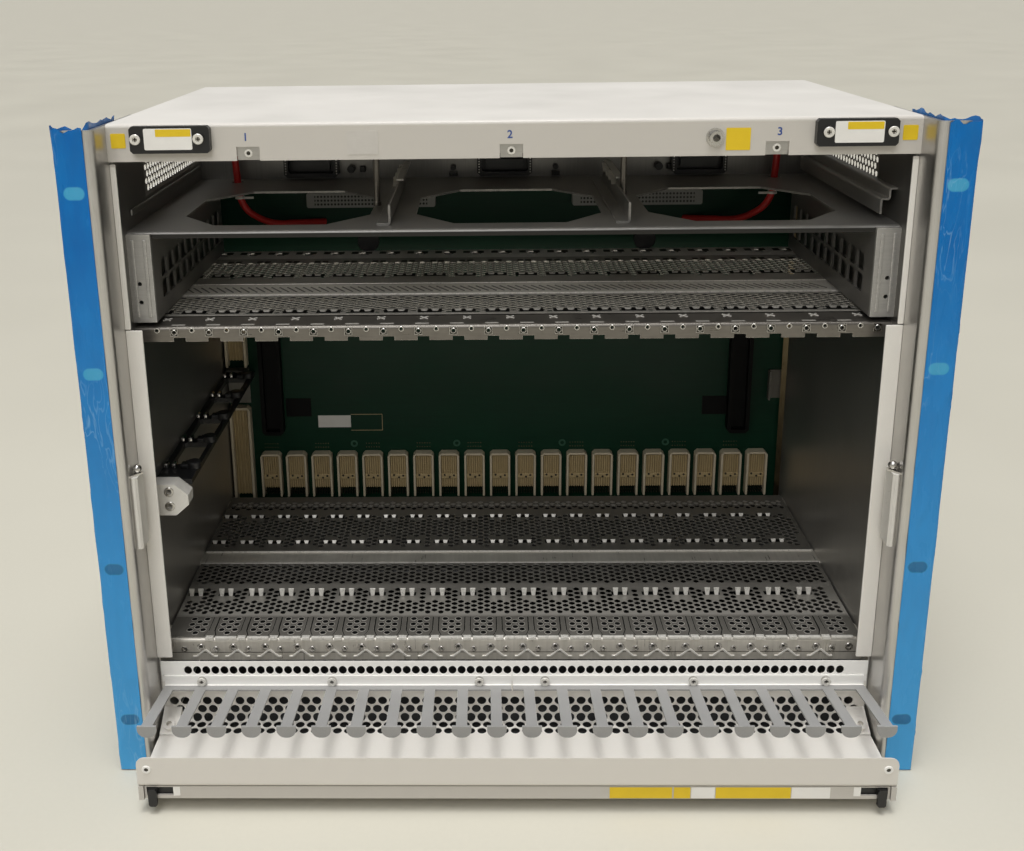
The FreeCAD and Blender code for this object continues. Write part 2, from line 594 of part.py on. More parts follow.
nodes["slot_connectors"] = group([
    shrouded((x + CONNECTOR_SHIFT - CONNECTOR_WIDTH / 2, x + CONNECTOR_SHIFT + CONNECTOR_WIDTH / 2),
             CONNECTOR_Z, 2.6, 1.8) for x in slot_x[1:]])
control_x = (-board_x + 0.5, -board_x + 17.0)
control_z = [LOWER_HOLE_Z + rise for rise in CONTROL_RISE]
nodes["control_connectors"] = group([shrouded(control_x, control_z[:2], 2.6, 2.0),
                                     shrouded(control_x, control_z[2:], 2.6, 2.0)])
bracket_path = [(BOARD_FRONT, control_z[1] + 2), (BOARD_FRONT, control_z[2] - 2),
                (BOARD_FRONT - 9, control_z[2] - 2)]
nodes["control_bracket"] = folded("YZ", bracket_path, SHEET, (control_x[0], control_x[1]), 0.6)
power_x = half - POWER_INSET
power_z = [LOWER_HOLE_Z + rise for rise in POWER_RISE]
nodes["power_connectors"] = group([shrouded((x - 8.5, x + 8.5), power_z, 3.0, 2.5)
                                   for x in (-power_x, power_x)])
din_z = (shelf_z - 26, shelf_z - 15)
nodes["shelf_connectors"] = group([
    slab("XZ", chamfered("XZ", BOARD_FRONT - 9, (x - 48, x + 48), din_z, 1.0), 9)
    for x in (-0.45 * half, 0.45 * half)])
clamp_z = (LOWER_HOLE_Z + 86, LOWER_HOLE_Z + 109)
clamp_path = [(board_x, BOARD_FRONT), (board_x - 12, BOARD_FRONT), (board_x - 12, BOARD_FRONT - 7)]
nodes["backplane_clamp"] = folded("XY", clamp_path, SHEET, clamp_z, 0.6)
gasket = [(wall_in, BOARD_FRONT - 1), (wall_in, BOARD_FRONT - 6), (wall_in - 3.4, BOARD_FRONT - 3.5)]
nodes["edge_gasket"] = slab("XY", outline("XY", board_z[0], gasket), board_z[1] - board_z[0])

# Divider of the left-hand slot: a block on the front, and a ladder-shaped guide from it to the bracket.
block_z = (LOWER_HOLE_Z + 91.5, LOWER_HOLE_Z + 111.8)
block_in = -wall_in + 22.5
block_y = (0.0, 11.0)
block = [(-wall_in, block_z[0]), (block_in - 8, block_z[0]), (block_in, block_z[0] + 7),
         (block_in, block_z[1] - 7), (block_in - 8, block_z[1]), (-wall_in, block_z[1])]
nodes["divider_block"] = slab("XZ", outline("XZ", block_y[0], block), block_y[1] - block_y[0],
                              [round_hole("XZ", block_y[0], (block_in - 11.5, z), 3.4)
                               for z in (block_z[1] - 4.8, block_z[0] + 6)])
ladder_z = (control_z[2] - 9.0, control_z[2] - 5.5)
ladder_rear = BOARD_FRONT - 1.5
rung_y = [26 + (BOARD_FRONT - 43) / 4 * k for k in range(5)]
gaps = []
for y, following in zip(rung_y, rung_y[1:]):
    gaps.append(chamfered("XY", ladder_z[0], (-wall_in + 4, block_in - 3), (y + 7, following), 1.5))
ladder = slab("XY", rectangle("XY", ladder_z[0], (-wall_in, block_in), (block_y[1], ladder_rear)),
              ladder_z[1] - ladder_z[0], gaps)
lugs = [box((x - 0.8, x + 0.8), (y + 1, y + 6), (ladder_z[0], ladder_z[1] + 3))
        for y in rung_y for x in ((block_in - wall_in) / 2 - 3.5, (block_in - wall_in) / 2 + 3.5)]
nodes["divider_guide"] = joined([ladder] + lugs)

# Red power leads: whole cords from the fan-bay wall through a hole in the shelf to the backplane, with
# straight runs joined by tangent arcs.
lead_points = [(half - 28, FAN_SHELF_REAR, shelf_z + 50), (half - 28, FAN_SHELF_REAR - 14, shelf_z + 43),
               (half - 31, FAN_SHELF_REAR - 10, shelf_z - 19), (half - 48, FAN_SHELF_REAR + 4, shelf_z - 34),
               (half - 85, BOARD_FRONT, shelf_z - 38)]


def cord(points, diameter):
    """A round cord along a path with tangent arcs at its corners."""
    corners = [V(*p) for p in points]
    edges = []
    length = 0
    start = corners[0]
    for before, corner, after in zip(corners, corners[1:], corners[2:]):
        d = (corner - before).normalize()
        e = (after - corner).normalize()
        half_turn = d.getAngle(e) / 2
        run = min((corner - before).Length, (after - corner).Length)
        radius = 0.45 * run / math.tan(half_turn)
        back = radius * math.tan(half_turn)
        t0 = corner - d * back
        t1 = corner + e * back
        middle = corner + (e - d).normalize() * (radius / math.cos(half_turn) - radius)
        edges.append(Part.makeLine(start, t0))
        edges.append(Part.Arc(t0, middle, t1).toShape())
        length += (t0 - start).Length + 2 * half_turn * radius
        start = t1
        print("lead bend radius %.1f mm" % radius)
    edges.append(Part.makeLine(start, corners[-1]))
    length += (corners[-1] - start).Length
    spine = Part.Wire(edges)
    first = (corners[1] - corners[0]).normalize()
    section = Part.Wire(Part.makeCircle(diameter / 2, corners[0], first))
    solid = spine.makePipeShell([section], True, False)
    expected = math.pi * diameter ** 2 / 4 * length
    print("lead length %.1f mm, volume %.0f of %.0f mm3" % (length, solid.Volume, expected))
    return solid


lead = cord(lead_points, LEAD_DIAMETER)
beyond = [box((0, half), (FAN_SHELF_REAR, FAN_SHELF_REAR + 20), (shelf_z, HEIGHT)),
          box((0, half), (BOARD_FRONT, BOARD_FRONT + 20), (0, HEIGHT))]
lead = cut(lead, beyond)
nodes["red_lead_right"] = lead
nodes["red_lead_left"] = mirrored(lead)

# Fibre trough: one sheet from the intake panel down, along the floor and up the front lip.
lip_in = TROUGH_FRONT + SHEET
trough_x = wall_in
trough_path = [(INTAKE_FRONT, INTAKE_TOP), (INTAKE_FRONT, TROUGH_FLOOR_Z), (lip_in, TROUGH_FLOOR_Z),
               (lip_in, TROUGH_LIP_Z)]
trough = folded("YZ", trough_path, SHEET, (-trough_x, trough_x))
hole_x0 = -(INTAKE_HOLES - 1) / 2 * INTAKE_PITCH
intake_z = INTAKE_TOP - 6.2
comb_screw_x = [side * n * SLOT_PITCH for side in (-1, 1) for n in (1.0, 5.5, 9.5)]
comb_screw_z = COMB_Z + 4.4
intake_x = [hole_x0 + k * INTAKE_PITCH for k in range(INTAKE_HOLES)]
tools = [slab("XZ", punched("XZ", INTAKE_FRONT - 2, (x, intake_z), INTAKE_HOLE), 5) for x in intake_x]
tools += [rod(V(x, INTAKE_FRONT - 2, comb_screw_z), V(0, 1, 0), 3.2, 6) for x in comb_screw_x]
window_z = (TROUGH_FLOOR_Z + 3.3, COMB_Z - 5.6)
tools += [box((x - 6.2, x + 6.2), (INTAKE_FRONT - 2, INTAKE_FRONT + 3), window_z)
          for x in slot_x]
tools += [rod(V(x, TROUGH_FRONT - 1, TROUGH_LIP_Z - 7.9), V(0, 1, 0), 4.5, SHEET + 2)
          for x in (-trough_x + 5.8, trough_x - 5.8)]
corner_r = 5.0
for side in (-1, 1):
    x = side * trough_x
    square = box(sorted((x, x - side * corner_r)), (TROUGH_FRONT - 1, lip_in + 1),
                 (TROUGH_LIP_Z - corner_r, TROUGH_LIP_Z + 1))
    quarter = rod(V(x - side * corner_r, TROUGH_FRONT - 2, TROUGH_LIP_Z - corner_r), V(0, 1, 0),
                  2 * corner_r, SHEET + 4)
    tools.append(square.cut(quarter))
nodes["fibre_trough"] = cut(trough, tools)

# Fibre combs: a flange on the intake panel, a narrow shelf and forward fingers with rounded end lips.
comb_low = COMB_Z
comb_top = COMB_Z + COMB_FLANGE
comb_back = INTAKE_FRONT
comb_front = INTAKE_FRONT - SHEET
finger_x = [x - SLOT_PITCH / 2 for x in slot_x] + [slot_x[-1] + SLOT_PITCH / 2]
tip_rise = FINGER_TIP_Z - SHEET - comb_low
tip_run = comb_front - FINGER_TIP_Y
comb_gap = 0.4


def finger_strip(x, reach):
    """A strip of the sloping comb sheet, from the flange forward."""
    y = comb_front - reach
    z = comb_low + tip_rise * reach / tip_run
    points = [(comb_back, comb_low), (comb_front, comb_low), (y, z), (y, z + SHEET),
              (comb_front, comb_low + SHEET), (comb_back, comb_low + SHEET)]
    return slab("YZ", outline("YZ", x[0], points), x[1] - x[0])


def finger_lip(x):
    """The turned-down end of a finger, rounded below."""
    w, h = FINGER_LIP
    plate = box((x - w / 2, x + w / 2), (FINGER_TIP_Y - SHEET, FINGER_TIP_Y),
                (FINGER_TIP_Z - h, FINGER_TIP_Z))
    low = [e for e in plate.Edges if all(abs(v.Z - FINGER_TIP_Z + h) < 1e-6 for v in e.Vertexes)
           and abs(e.Vertexes[0].X - e.Vertexes[1].X) < 1e-6]
    return plate.makeFillet(w / 2 - 0.6, low)


def comb(fingers, limits):
    """One half of the comb."""
    flange = slab("XZ", rectangle("XZ", comb_front, limits, (comb_low, comb_top)), SHEET,
                  [round_hole("XZ", comb_front, (x, comb_screw_z), 3.2)
                   for x in comb_screw_x if limits[0] < x < limits[1]])
    parts = [flange, finger_strip(limits, 6.0)]
    for x in fingers:
        parts.append(finger_strip((x - FINGER_WIDTH / 2, x + FINGER_WIDTH / 2), tip_run))
        parts.append(finger_lip(x))
    return joined(parts)


comb_half = len(finger_x) // 2
comb_end = finger_x[-1] + FINGER_WIDTH / 2
nodes["comb_left"] = comb(finger_x[:comb_half], (-comb_end, -comb_gap))
nodes["comb_right"] = comb(finger_x[comb_half:], (comb_gap, comb_end))
nodes["comb_screws"] = group([
    joined([rod(V(x, comb_front - 1.8, comb_screw_z), V(0, 1, 0), 5.6, 1.8),
            rod(V(x, comb_front, comb_screw_z), V(0, 1, 0), 3.0, 6.0)]) for x in comb_screw_x])

# Trough bushes: a short sleeve that stands square on a sloping gusset in each end corner of the trough,
# and a leg under each end of the lip.
run, rise = GUSSET
corner = BEND + 0.2
gusset = [(INTAKE_FRONT - corner, TROUGH_FLOOR_Z), (INTAKE_FRONT - run, TROUGH_FLOOR_Z),
          (INTAKE_FRONT, TROUGH_FLOOR_Z + rise), (INTAKE_FRONT, TROUGH_FLOOR_Z + corner)]
square_to = V(0, -rise, run).normalize()
leg_x = (trough_x - 3.0, trough_x)
leg = box(leg_x, (TROUGH_FRONT, TROUGH_FRONT + 6), (DRAWER_Z - 0.4, TROUGH_FLOOR_Z - SHEET))
bushes = [leg, mirrored(leg)]
for side in (-1, 1):
    wedge = slab("YZ", outline("YZ", side * trough_x, gusset), -side * 11.0)
    base = V(side * (trough_x - 5.5), INTAKE_FRONT - 0.68 * run, TROUGH_FLOOR_Z + 0.32 * rise)
    sleeve = rod(base - square_to, square_to, 7.0, 4.0)
    bushes.append(cut(joined([wedge, sleeve]), [rod(base, square_to, 3.4, 4.0)]))
nodes["trough_bushes"] = group(bushes)

# Filter drawer: a shallow tray with a front strip; the strip has a window for each latch.
drawer_x = trough_x - 3.3
drawer_front = TROUGH_FRONT + 1.1
strip_top = TROUGH_FLOOR_Z - SHEET - CLEAR
tray_rear = drawer_front + DRAWER_DEPTH
latch_window = (drawer_x - 19.0, drawer_x - 1.2)
thumb_window_z = (DRAWER_Z + 2.2, strip_top - 0.6)
windows = [rectangle("XZ", drawer_front, (-latch_window[1], -latch_window[0]), thumb_window_z),
           rectangle("XZ", drawer_front, latch_window, thumb_window_z)]
strip_outline = rectangle("XZ", drawer_front, (-drawer_x, drawer_x), (DRAWER_Z, strip_top))
front_strip = slab("XZ", strip_outline, SHEET, windows)
bar_y = [drawer_front + 14 + k * (DRAWER_DEPTH - 20) / 3 for k in range(4)]
air = []
for k in range(4):
    x = (-drawer_x + 18 + k * (2 * drawer_x - 30) / 4, -drawer_x + 6 + (k + 1) * (2 * drawer_x - 24) / 4)
    for y, following in zip(bar_y, bar_y[1:]):
        air.append(rectangle("XY", DRAWER_Z, x, (y, following - 6)))
tray = slab("XY", rectangle("XY", DRAWER_Z, (-drawer_x, drawer_x), (drawer_front, tray_rear)), PLATE, air)
rim_z = (DRAWER_Z, DRAWER_Z + 5)
mat_front = drawer_front + 9
rims = [box((-drawer_x, -drawer_x + PLATE), (mat_front, tray_rear), rim_z),
        box((drawer_x - PLATE, drawer_x), (mat_front, tray_rear), rim_z),
        box((-drawer_x, drawer_x), (tray_rear - PLATE, tray_rear), rim_z),
        box((-drawer_x, drawer_x), (mat_front - PLATE, mat_front), rim_z)]
nodes["filter_drawer"] = joined([front_strip, tray] + rims)
nodes["filter_mat"] = box((-drawer_x + PLATE, drawer_x - PLATE), (mat_front, tray_rear - PLATE),
                          (DRAWER_Z + PLATE, DRAWER_Z + PLATE + MAT_THICKNESS))

# Drawer latches: a slide behind the front strip with a thumb piece through the window.
slide_y = (drawer_front + SHEET + CLEAR, drawer_front + SHEET + 3.3)
slide_z = (DRAWER_Z + PLATE + CLEAR, strip_top - 0.4)
thumb_x = (drawer_x - 7.4, drawer_x - 2.4)
thumb_z = (DRAWER_Z - 4.0, thumb_window_z[1] - CLEAR)
slide = box((drawer_x - 22.0, drawer_x - 0.9), slide_y, slide_z)
stem = box(thumb_x, (LATCH_FRONT + 1.0, slide_y[0]),
           (thumb_window_z[0] + CLEAR, thumb_window_z[1] - CLEAR))
thumb = slab("XZ", chamfered("XZ", LATCH_FRONT, thumb_x, thumb_z, 1.0), drawer_front - CLEAR - LATCH_FRONT)
latch = joined([slide, stem, thumb])
nodes["drawer_latch_right"] = latch
nodes["drawer_latch_left"] = mirrored(latch)

for name, shape in nodes.items():
    moved = shape.translated(V(0, rail_y, 0))
    moved.exportStep("parts/%s.step" % name)
box_all = Part.makeCompound([s.translated(V(0, rail_y, 0)) for s in nodes.values()]).BoundBox
print("%d nodes, box %.2f %.2f %.2f to %.2f %.2f %.2f" % (
    len(nodes), box_all.XMin, box_all.YMin, box_all.ZMin, box_all.XMax, box_all.YMax, box_all.ZMax))
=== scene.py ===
# %% [markdown]
# An optical transport shelf is a sheet-metal card cage for a 19 inch rack. This lesson dresses the packed
# model of one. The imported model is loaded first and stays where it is: every piece that follows is placed
# by it, so nothing has to be fitted by eye.

# %% Load the frame
import math
import bmesh
import bpy
from mathutils import Matrix, Vector, noise


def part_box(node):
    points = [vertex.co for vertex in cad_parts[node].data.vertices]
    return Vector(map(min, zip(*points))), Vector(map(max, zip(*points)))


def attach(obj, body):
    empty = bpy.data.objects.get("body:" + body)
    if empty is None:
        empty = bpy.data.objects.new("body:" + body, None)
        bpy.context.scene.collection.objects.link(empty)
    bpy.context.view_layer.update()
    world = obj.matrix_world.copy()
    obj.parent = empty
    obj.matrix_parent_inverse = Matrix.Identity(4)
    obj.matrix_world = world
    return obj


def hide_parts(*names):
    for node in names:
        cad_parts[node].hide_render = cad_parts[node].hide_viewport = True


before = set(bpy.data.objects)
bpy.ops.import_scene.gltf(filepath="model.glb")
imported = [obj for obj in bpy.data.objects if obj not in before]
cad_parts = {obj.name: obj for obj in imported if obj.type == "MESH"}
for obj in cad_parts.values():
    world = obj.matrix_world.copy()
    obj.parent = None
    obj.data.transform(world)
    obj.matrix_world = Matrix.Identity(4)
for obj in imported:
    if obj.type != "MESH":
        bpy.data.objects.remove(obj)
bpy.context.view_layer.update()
scene = bpy.context.scene
scene.view_settings.view_transform = "Standard"

# %% [markdown]
# The shelf is drawn in millimetres, with depth counted from the plane of the card rails, because every
# size on the real thing was read that way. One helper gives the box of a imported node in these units.

# %% Units, slots and boxes of nodes
MM = 0.001
rail_plane = (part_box("bottom_front_rail")[0] / MM).y
SLOT_PITCH = 20.32
SLOTS = 21
slot_x = [(k - (SLOTS - 1) / 2) * SLOT_PITCH for k in range(SLOTS)]


def limits(name):
    """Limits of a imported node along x, y and z in millimetres, with its depth from the rail plane."""
    low, high = (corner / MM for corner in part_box(name))
    return (low.x, high.x), (low.y - rail_plane, high.y - rail_plane), (low.z, high.z)


rail_x, rail_y, rail_z = limits("bottom_front_rail")
wall_in = rail_x[1]
print("rail plane at %.2f mm, wall at %.1f mm, %d slots" % (rail_plane, wall_in, SLOTS))

# %% [markdown]
# Sheet-metal details are mostly small blocks and pins that repeat along the rows of slots. A few helpers
# add one of each to a bmesh or copy what is there. Most edges get a bevel, because no real edge is
# perfectly sharp and the bevel is what catches the light.

# %% Blocks, pins and copies
UP = (0, 0, 1)
FRONT = (0, -1, 0)


def soften(bm, verts, size, segments=2):
    """Bevel the edges between the given vertices."""
    chosen = set(verts)
    edges = [e for e in bm.edges if e.verts[0] in chosen and e.verts[1] in chosen]
    bmesh.ops.bevel(bm, geom=edges, offset=size, offset_type="OFFSET", segments=segments, profile=0.5,
                    affect="EDGES", material=-1, clamp_overlap=True)


def around(middle, half):
    """Limits at one distance to either side of a middle."""
    return middle - half, middle + half


def block(bm, x, y, z, bevel=0.0, turn=None, segments=2):
    """Add a block between pairs of limits, turned about its own middle."""
    middle = Matrix.Translation((sum(x) / 2, sum(y) / 2, sum(z) / 2))
    size = Matrix.Diagonal((x[1] - x[0], y[1] - y[0], z[1] - z[0], 1))
    made = bmesh.ops.create_cube(bm, size=1.0, matrix=middle @ (turn or Matrix.Identity(4)) @ size)
    if bevel:
        soften(bm, made["verts"], bevel, segments)


def pin(bm, start, direction, radius, length, sides=16, bevel=0.0):
    """Add a round pin from a start point along a direction."""
    axis = Vector(direction).normalized()
    turn = Vector(UP).rotation_difference(axis).to_matrix().to_4x4()
    middle = Matrix.Translation(Vector(start) + axis * length / 2)
    made = bmesh.ops.create_cone(bm, cap_ends=True, segments=sides, radius1=radius, radius2=radius,
                                 depth=length, matrix=middle @ turn)
    if bevel:
        soften(bm, made["verts"], bevel)


def verts_in(geom):
    """The vertices among what an operator made."""
    return [v for v in geom if isinstance(v, bmesh.types.BMVert)]


def repeat(bm, places):
    """Copy what the bmesh holds to each of the places, counted from the first one."""
    original = bm.verts[:] + bm.edges[:] + bm.faces[:]
    for place_at in places[1:]:
        copied = bmesh.ops.duplicate(bm, geom=original)["geom"]
        bmesh.ops.translate(bm, verts=verts_in(copied), vec=Vector(place_at) - Vector(places[0]))


def repeat_x(bm, xs):
    """Copy what the bmesh holds along the shelf."""
    repeat(bm, [(x, 0, 0) for x in xs])


print("helpers ready: soften, around, block, pin, repeat")

# %% [markdown]
# The finishes come next. Real surfaces are never one flat colour, so a few shader node groups make the
# small changes that every finish shares: cloudy shading, brush marks and bright edges, which stand for wear
# and also paint the highlights that edges catch. Each group is built once, puts out plain masks, and each
# finish places it with its own values.

# %% Node helpers
def make_group(name, inputs):
    """Start a shader node group with named float inputs and one mask."""
    group = bpy.data.node_groups.new(name, "ShaderNodeTree")
    for label, default in inputs.items():
        socket = group.interface.new_socket(name=label, in_out="INPUT", socket_type="NodeSocketFloat")
        socket.default_value = default
    group.interface.new_socket(name="Mask", in_out="OUTPUT", socket_type="NodeSocketFloat")
    return group, group.nodes.new("NodeGroupInput").outputs, group.nodes.new("NodeGroupOutput").inputs["Mask"]


def place(tree, kind, sources=(), **settings):
    """Add a node, set its properties and link or set its inputs."""
    node = tree.nodes.new(kind)
    for key, value in settings.items():
        setattr(node, key, value)
    for socket, source in dict(sources).items():
        if isinstance(source, bpy.types.NodeSocket):
            tree.links.new(source, node.inputs[socket])
        else:
            node.inputs[socket].default_value = source
    return node


def calc(tree, operation, first, second=0.0, third=0.0, clamp=False):
    """A Math node's result."""
    sources = {0: first, 1: second, 2: third}
    return place(tree, "ShaderNodeMath", sources, operation=operation, use_clamp=clamp).outputs[0]


def ramp(tree, value, start, stop, low=0.0, high=1.0):
    """The low result at the start value, the high one at the stop value."""
    return place(tree, "ShaderNodeMapRange", {0: value, 1: start, 2: stop, 3: low, 4: high}).outputs[0]


def mix(tree, mask, under, over):
    """Two colours blended under a mask."""
    return place(tree, "ShaderNodeMix", {0: mask, 6: under, 7: over}, data_type="RGBA").outputs[2]


def object_place(tree):
    """The place on the piece, in metres."""
    return place(tree, "ShaderNodeTexCoord").outputs["Object"]


def speckle(tree, vector, scale, detail, **more):
    """A noise value between zero and one."""
    sources = {"Vector": vector, "Scale": scale, "Detail": detail, **more}
    return place(tree, "ShaderNodeTexNoise", sources).outputs[0]


print("helpers ready: make_group, place, calc, ramp, mix, speckle")

# %% Clouds: slow changes over a surface
clouds, given, mask = make_group("clouds", {"Size mm": 40.0, "Contrast": 1.0})
rate = calc(clouds, "DIVIDE", 1 / MM, given["Size mm"])
cloud = speckle(clouds, object_place(clouds), rate, 3.0, Roughness=0.55)
level = calc(clouds, "SUBTRACT", cloud, 0.5)
clouds.links.new(calc(clouds, "MULTIPLY_ADD", level, given["Contrast"], 0.5, clamp=True), mask)
print("group", clouds.name, "ready")

# %% Brush marks: grain drawn out along one direction
ALONG = ["Along X", "Along Y", "Along Z"]
brush, given, mask = make_group("brush_marks", {"Size mm": 1.0, **dict.fromkeys(ALONG, 1.0)})
ways = {k: given[label] for k, label in enumerate(ALONG)}
stretch = place(brush, "ShaderNodeCombineXYZ", ways).outputs[0]
drawn = place(brush, "ShaderNodeVectorMath", {0: object_place(brush), 1: stretch}, operation="DIVIDE")
rate = calc(brush, "DIVIDE", 1 / MM, given["Size mm"])
brush.links.new(speckle(brush, drawn.outputs[0], rate, 2.0), mask)
print("group", brush.name, "ready")

# %% Edge wear and painted edge highlights: how far a rounded normal leaves the true one
wear_and_glint, given, mask = make_group("edge_wear_and_glint", {"Width mm": 0.6, "Breakup mm": 3.0})
radius = calc(wear_and_glint, "MULTIPLY", given["Width mm"], MM)
rounded = place(wear_and_glint, "ShaderNodeBevel", {"Radius": radius}, samples=3).outputs[0]
flat = place(wear_and_glint, "ShaderNodeNewGeometry").outputs["True Normal"]
match = place(wear_and_glint, "ShaderNodeVectorMath", {0: rounded, 1: flat}, operation="DOT_PRODUCT")
worn_and_lit = ramp(wear_and_glint, match.outputs["Value"], 0.995, 0.85)
rate = calc(wear_and_glint, "DIVIDE", 1 / MM, given["Breakup mm"])
kept = ramp(wear_and_glint, speckle(wear_and_glint, object_place(wear_and_glint), rate, 2.0), 0.35, 0.6)
wear_and_glint.links.new(calc(wear_and_glint, "MULTIPLY", worn_and_lit, kept), mask)
print("group", wear_and_glint.name, "ready")

# %% [markdown]
# A finish is one Principled shader. Its colour runs between a dark and a light tone under the cloud mask
# and the brush marks, both also push the roughness, the marks make a small bump, and the edges may show a
# third tone, for wear and as painted highlights. Finishes are kept by name.

# %% The recipe for a finish
finishes = {}


def tone(hex_code):
    """A colour written as it shows on screen, brought to the linear values that shaders use."""
    parts = [int(hex_code[k:k + 2], 16) / 255 for k in (1, 3, 5)]
    return [((c + 0.055) / 1.055) ** 2.4 if c > 0.04045 else c / 12.92 for c in parts] + [1.0]


def finish(name, dark, light, roughness, cloud_mm, marks_mm, bump, metallic=0.0, along=(1, 1, 1),
           edge=None, edge_mm=0.5, contrast=1.6, spread=0.08, specular=0.5, coat=0.0):
    """A material with clouds, marks and, where it has one, an edge tone for wear and painted highlights."""
    material = bpy.data.materials.new(name)
    material.use_nodes = True
    tree = material.node_tree
    shader = tree.nodes["Principled BSDF"]
    shader.inputs["Metallic"].default_value = metallic
    shader.inputs["Specular IOR Level"].default_value = specular
    if coat:
        shader.inputs["Coat Weight"].default_value = coat
        shader.inputs["Coat Roughness"].default_value = 0.2
    cloudy = place(tree, "ShaderNodeGroup", {"Size mm": cloud_mm, "Contrast": contrast}, node_tree=clouds)
    grain = {"Size mm": marks_mm, **dict(zip(ALONG, along))}
    marked = place(tree, "ShaderNodeGroup", grain, node_tree=brush).outputs[0]
    half_cloud = calc(tree, "MULTIPLY", cloudy.outputs[0], 0.5)
    blend = calc(tree, "MULTIPLY_ADD", marked, 0.5, half_cloud)
    colour = mix(tree, blend, tone(dark), tone(light))
    if edge:
        worn_and_lit = place(tree, "ShaderNodeGroup", {"Width mm": edge_mm}, node_tree=wear_and_glint)
        colour = mix(tree, worn_and_lit.outputs[0], colour, tone(edge))
    tree.links.new(colour, shader.inputs["Base Color"])
    rough = ramp(tree, blend, 0.3, 0.7, roughness - spread, roughness + spread)
    tree.links.new(rough, shader.inputs["Roughness"])
    relief = place(tree, "ShaderNodeBump", {"Height": marked, "Strength": bump, "Distance": 0.2 * MM})
    tree.links.new(relief.outputs[0], shader.inputs["Normal"])
    finishes[name] = material


print("helpers ready: tone, finish")

# %% [markdown]
# The outer sheets and the fibre trough are white powder coat with a fine orange-peel skin, and the comb
# over the trough has a mid grey coat. Everything inside is bare: galvanised sheet for the shelf, the walls
# and the plates, in tones from bright to dull, and brushed aluminium on the rack ears. Each line gives the
# dark and the light tone, the roughness, the size of clouds and of marks in millimetres, and the bump.

# %% Paint and sheet finishes
finish("white_paint", "#e4e0d8", "#efebe4", 0.42, 60, 0.9, 0.12, edge="#f6f3ee", coat=0.25)
finish("comb_paint", "#8f8e8c", "#a3a2a0", 0.48, 25, 0.8, 0.12, edge="#c4c2be", edge_mm=0.4, coat=0.25)
finish("zinc_sheet", "#9c9a96", "#c9c6c1", 0.34, 22, 0.8, 0.05, 0.8, (14, 1, 1), "#e6e3de", 0.4)
# on the plates the edge tone is a painted highlight on the rims
finish("plate_zinc", "#8b8881", "#bdb9b1", 0.46, 30, 0.9, 0.06, 0.25, (1, 10, 10), "#d8d4cb", 0.25)
finish("dull_zinc", "#5b5953", "#837f78", 0.44, 30, 0.9, 0.06, 0.3, (1, 10, 10), "#cbc7bf", 0.3)
finish("bay_zinc", "#6d6b68", "#9a9894", 0.38, 45, 1.0, 0.05, 0.5, (20, 1, 1), "#e2dfd9")
finish("wall_zinc", "#6b6a68", "#979591", 0.36, 60, 1.0, 0.06, 0.85, (1, 3, 25))
finish("shelf_zinc", "#8f8d8a", "#c2c0bc", 0.36, 45, 1.0, 0.05, 0.5, (20, 1, 1), "#efece6")
# painted shade: the base pan is near black, standing in for the shade under the drawer
finish("pan_painted_shade", "#1d1c1b", "#2b2a28", 0.6, 40, 1.0, 0.05, 0.3)
print(len(finishes), "finishes so far")

# %% Rail, claw and ear finishes
finish("rail_zinc", "#5f5b56", "#88837b", 0.34, 14, 0.8, 0.05, 0.7, (12, 1, 1), "#cfcbc3", 0.4)
finish("band_zinc", "#a8a399", "#ded9cf", 0.34, 18, 1.6, 0.08, 0.4, (1, 25, 25), "#f4f1ea")
# painted light: a brightened copy of band_zinc for the upper rails, which get less light under the fan shelf
finish("band_zinc_painted_light", "#dcd8d0", "#f6f3ec", 0.36, 18, 1.6, 0.08, 0.1, (1, 25, 25))
# painted highlight: near-white, barely metallic zinc standing in for the glints on claws, rolled edges, tabs,
# chevrons, crosses and screw rims
finish("highlight_zinc", "#cdc9c0", "#f0ede6", 0.3, 3, 0.4, 0.04, 0.2)
finish("bright_steel", "#a9a7a3", "#dcd9d4", 0.24, 4, 0.4, 0.04, 1.0)
finish("ear_aluminium", "#b3b1ae", "#dcdad7", 0.36, 40, 0.5, 0.08, 1.0, (1, 1, 60), "#efedea")
finish("copper_strip", "#5c503c", "#8e8064", 0.35, 10, 0.6, 0.05, 1.0, (1, 1, 12))
print(len(finishes), "finishes so far")

# %% [markdown]
# The moulded parts differ mostly in colour: black connectors and covers, beige card connectors, a grey
# shelf connector and a milky divider block. The board is green under a clear lacquer, with faint bands
# where copper layers lie closer to the surface. The film is a glossy blue plastic.

# %% Plastic, board, cord, foam and label finishes
# the edge tone is a painted highlight where the glossy edges catch the light
finish("black_plastic", "#0e0e0f", "#1c1c1d", 0.36, 12, 0.4, 0.1, edge="#3a3a3b", edge_mm=0.35)
# black for the power connectors and board patches, and also painted shade in holes, claw slots and round the
# funnels
finish("deep_black", "#060606", "#0f0f0f", 0.5, 8, 0.4, 0.08, specular=0.15)
# dark brown for the connector contacts and the rail seam, and also painted shade in recesses, windows and
# round the upper rail's collars
finish("dark_contact_and_shade", "#15130f", "#3b3424", 0.4, 3, 0.4, 0.06)
finish("cream_plastic", "#cdbfa3", "#e2d6bd", 0.48, 8, 0.5, 0.08)
finish("tan_plastic", "#ab956a", "#d0bb8e", 0.55, 6, 0.4, 0.08)
finish("grey_plastic", "#82827d", "#9c9c96", 0.5, 10, 0.5, 0.08)
finish("milky_plastic", "#c9c5bd", "#e2dfd8", 0.35, 9, 0.6, 0.06)
finish("board_green", "#04281a", "#0a3d28", 0.4, 90, 1.2, 0.05, along=(25, 1, 1), contrast=2.0, specular=0.2)
finish("ring_green", "#1f4a38", "#376952", 0.4, 4, 0.4, 0.05)
finish("red_cord", "#a31616", "#c92a24", 0.4, 10, 0.5, 0.06)
finish("dark_foam", "#1a1a1a", "#2b2b2a", 0.9, 3, 0.8, 0.5)
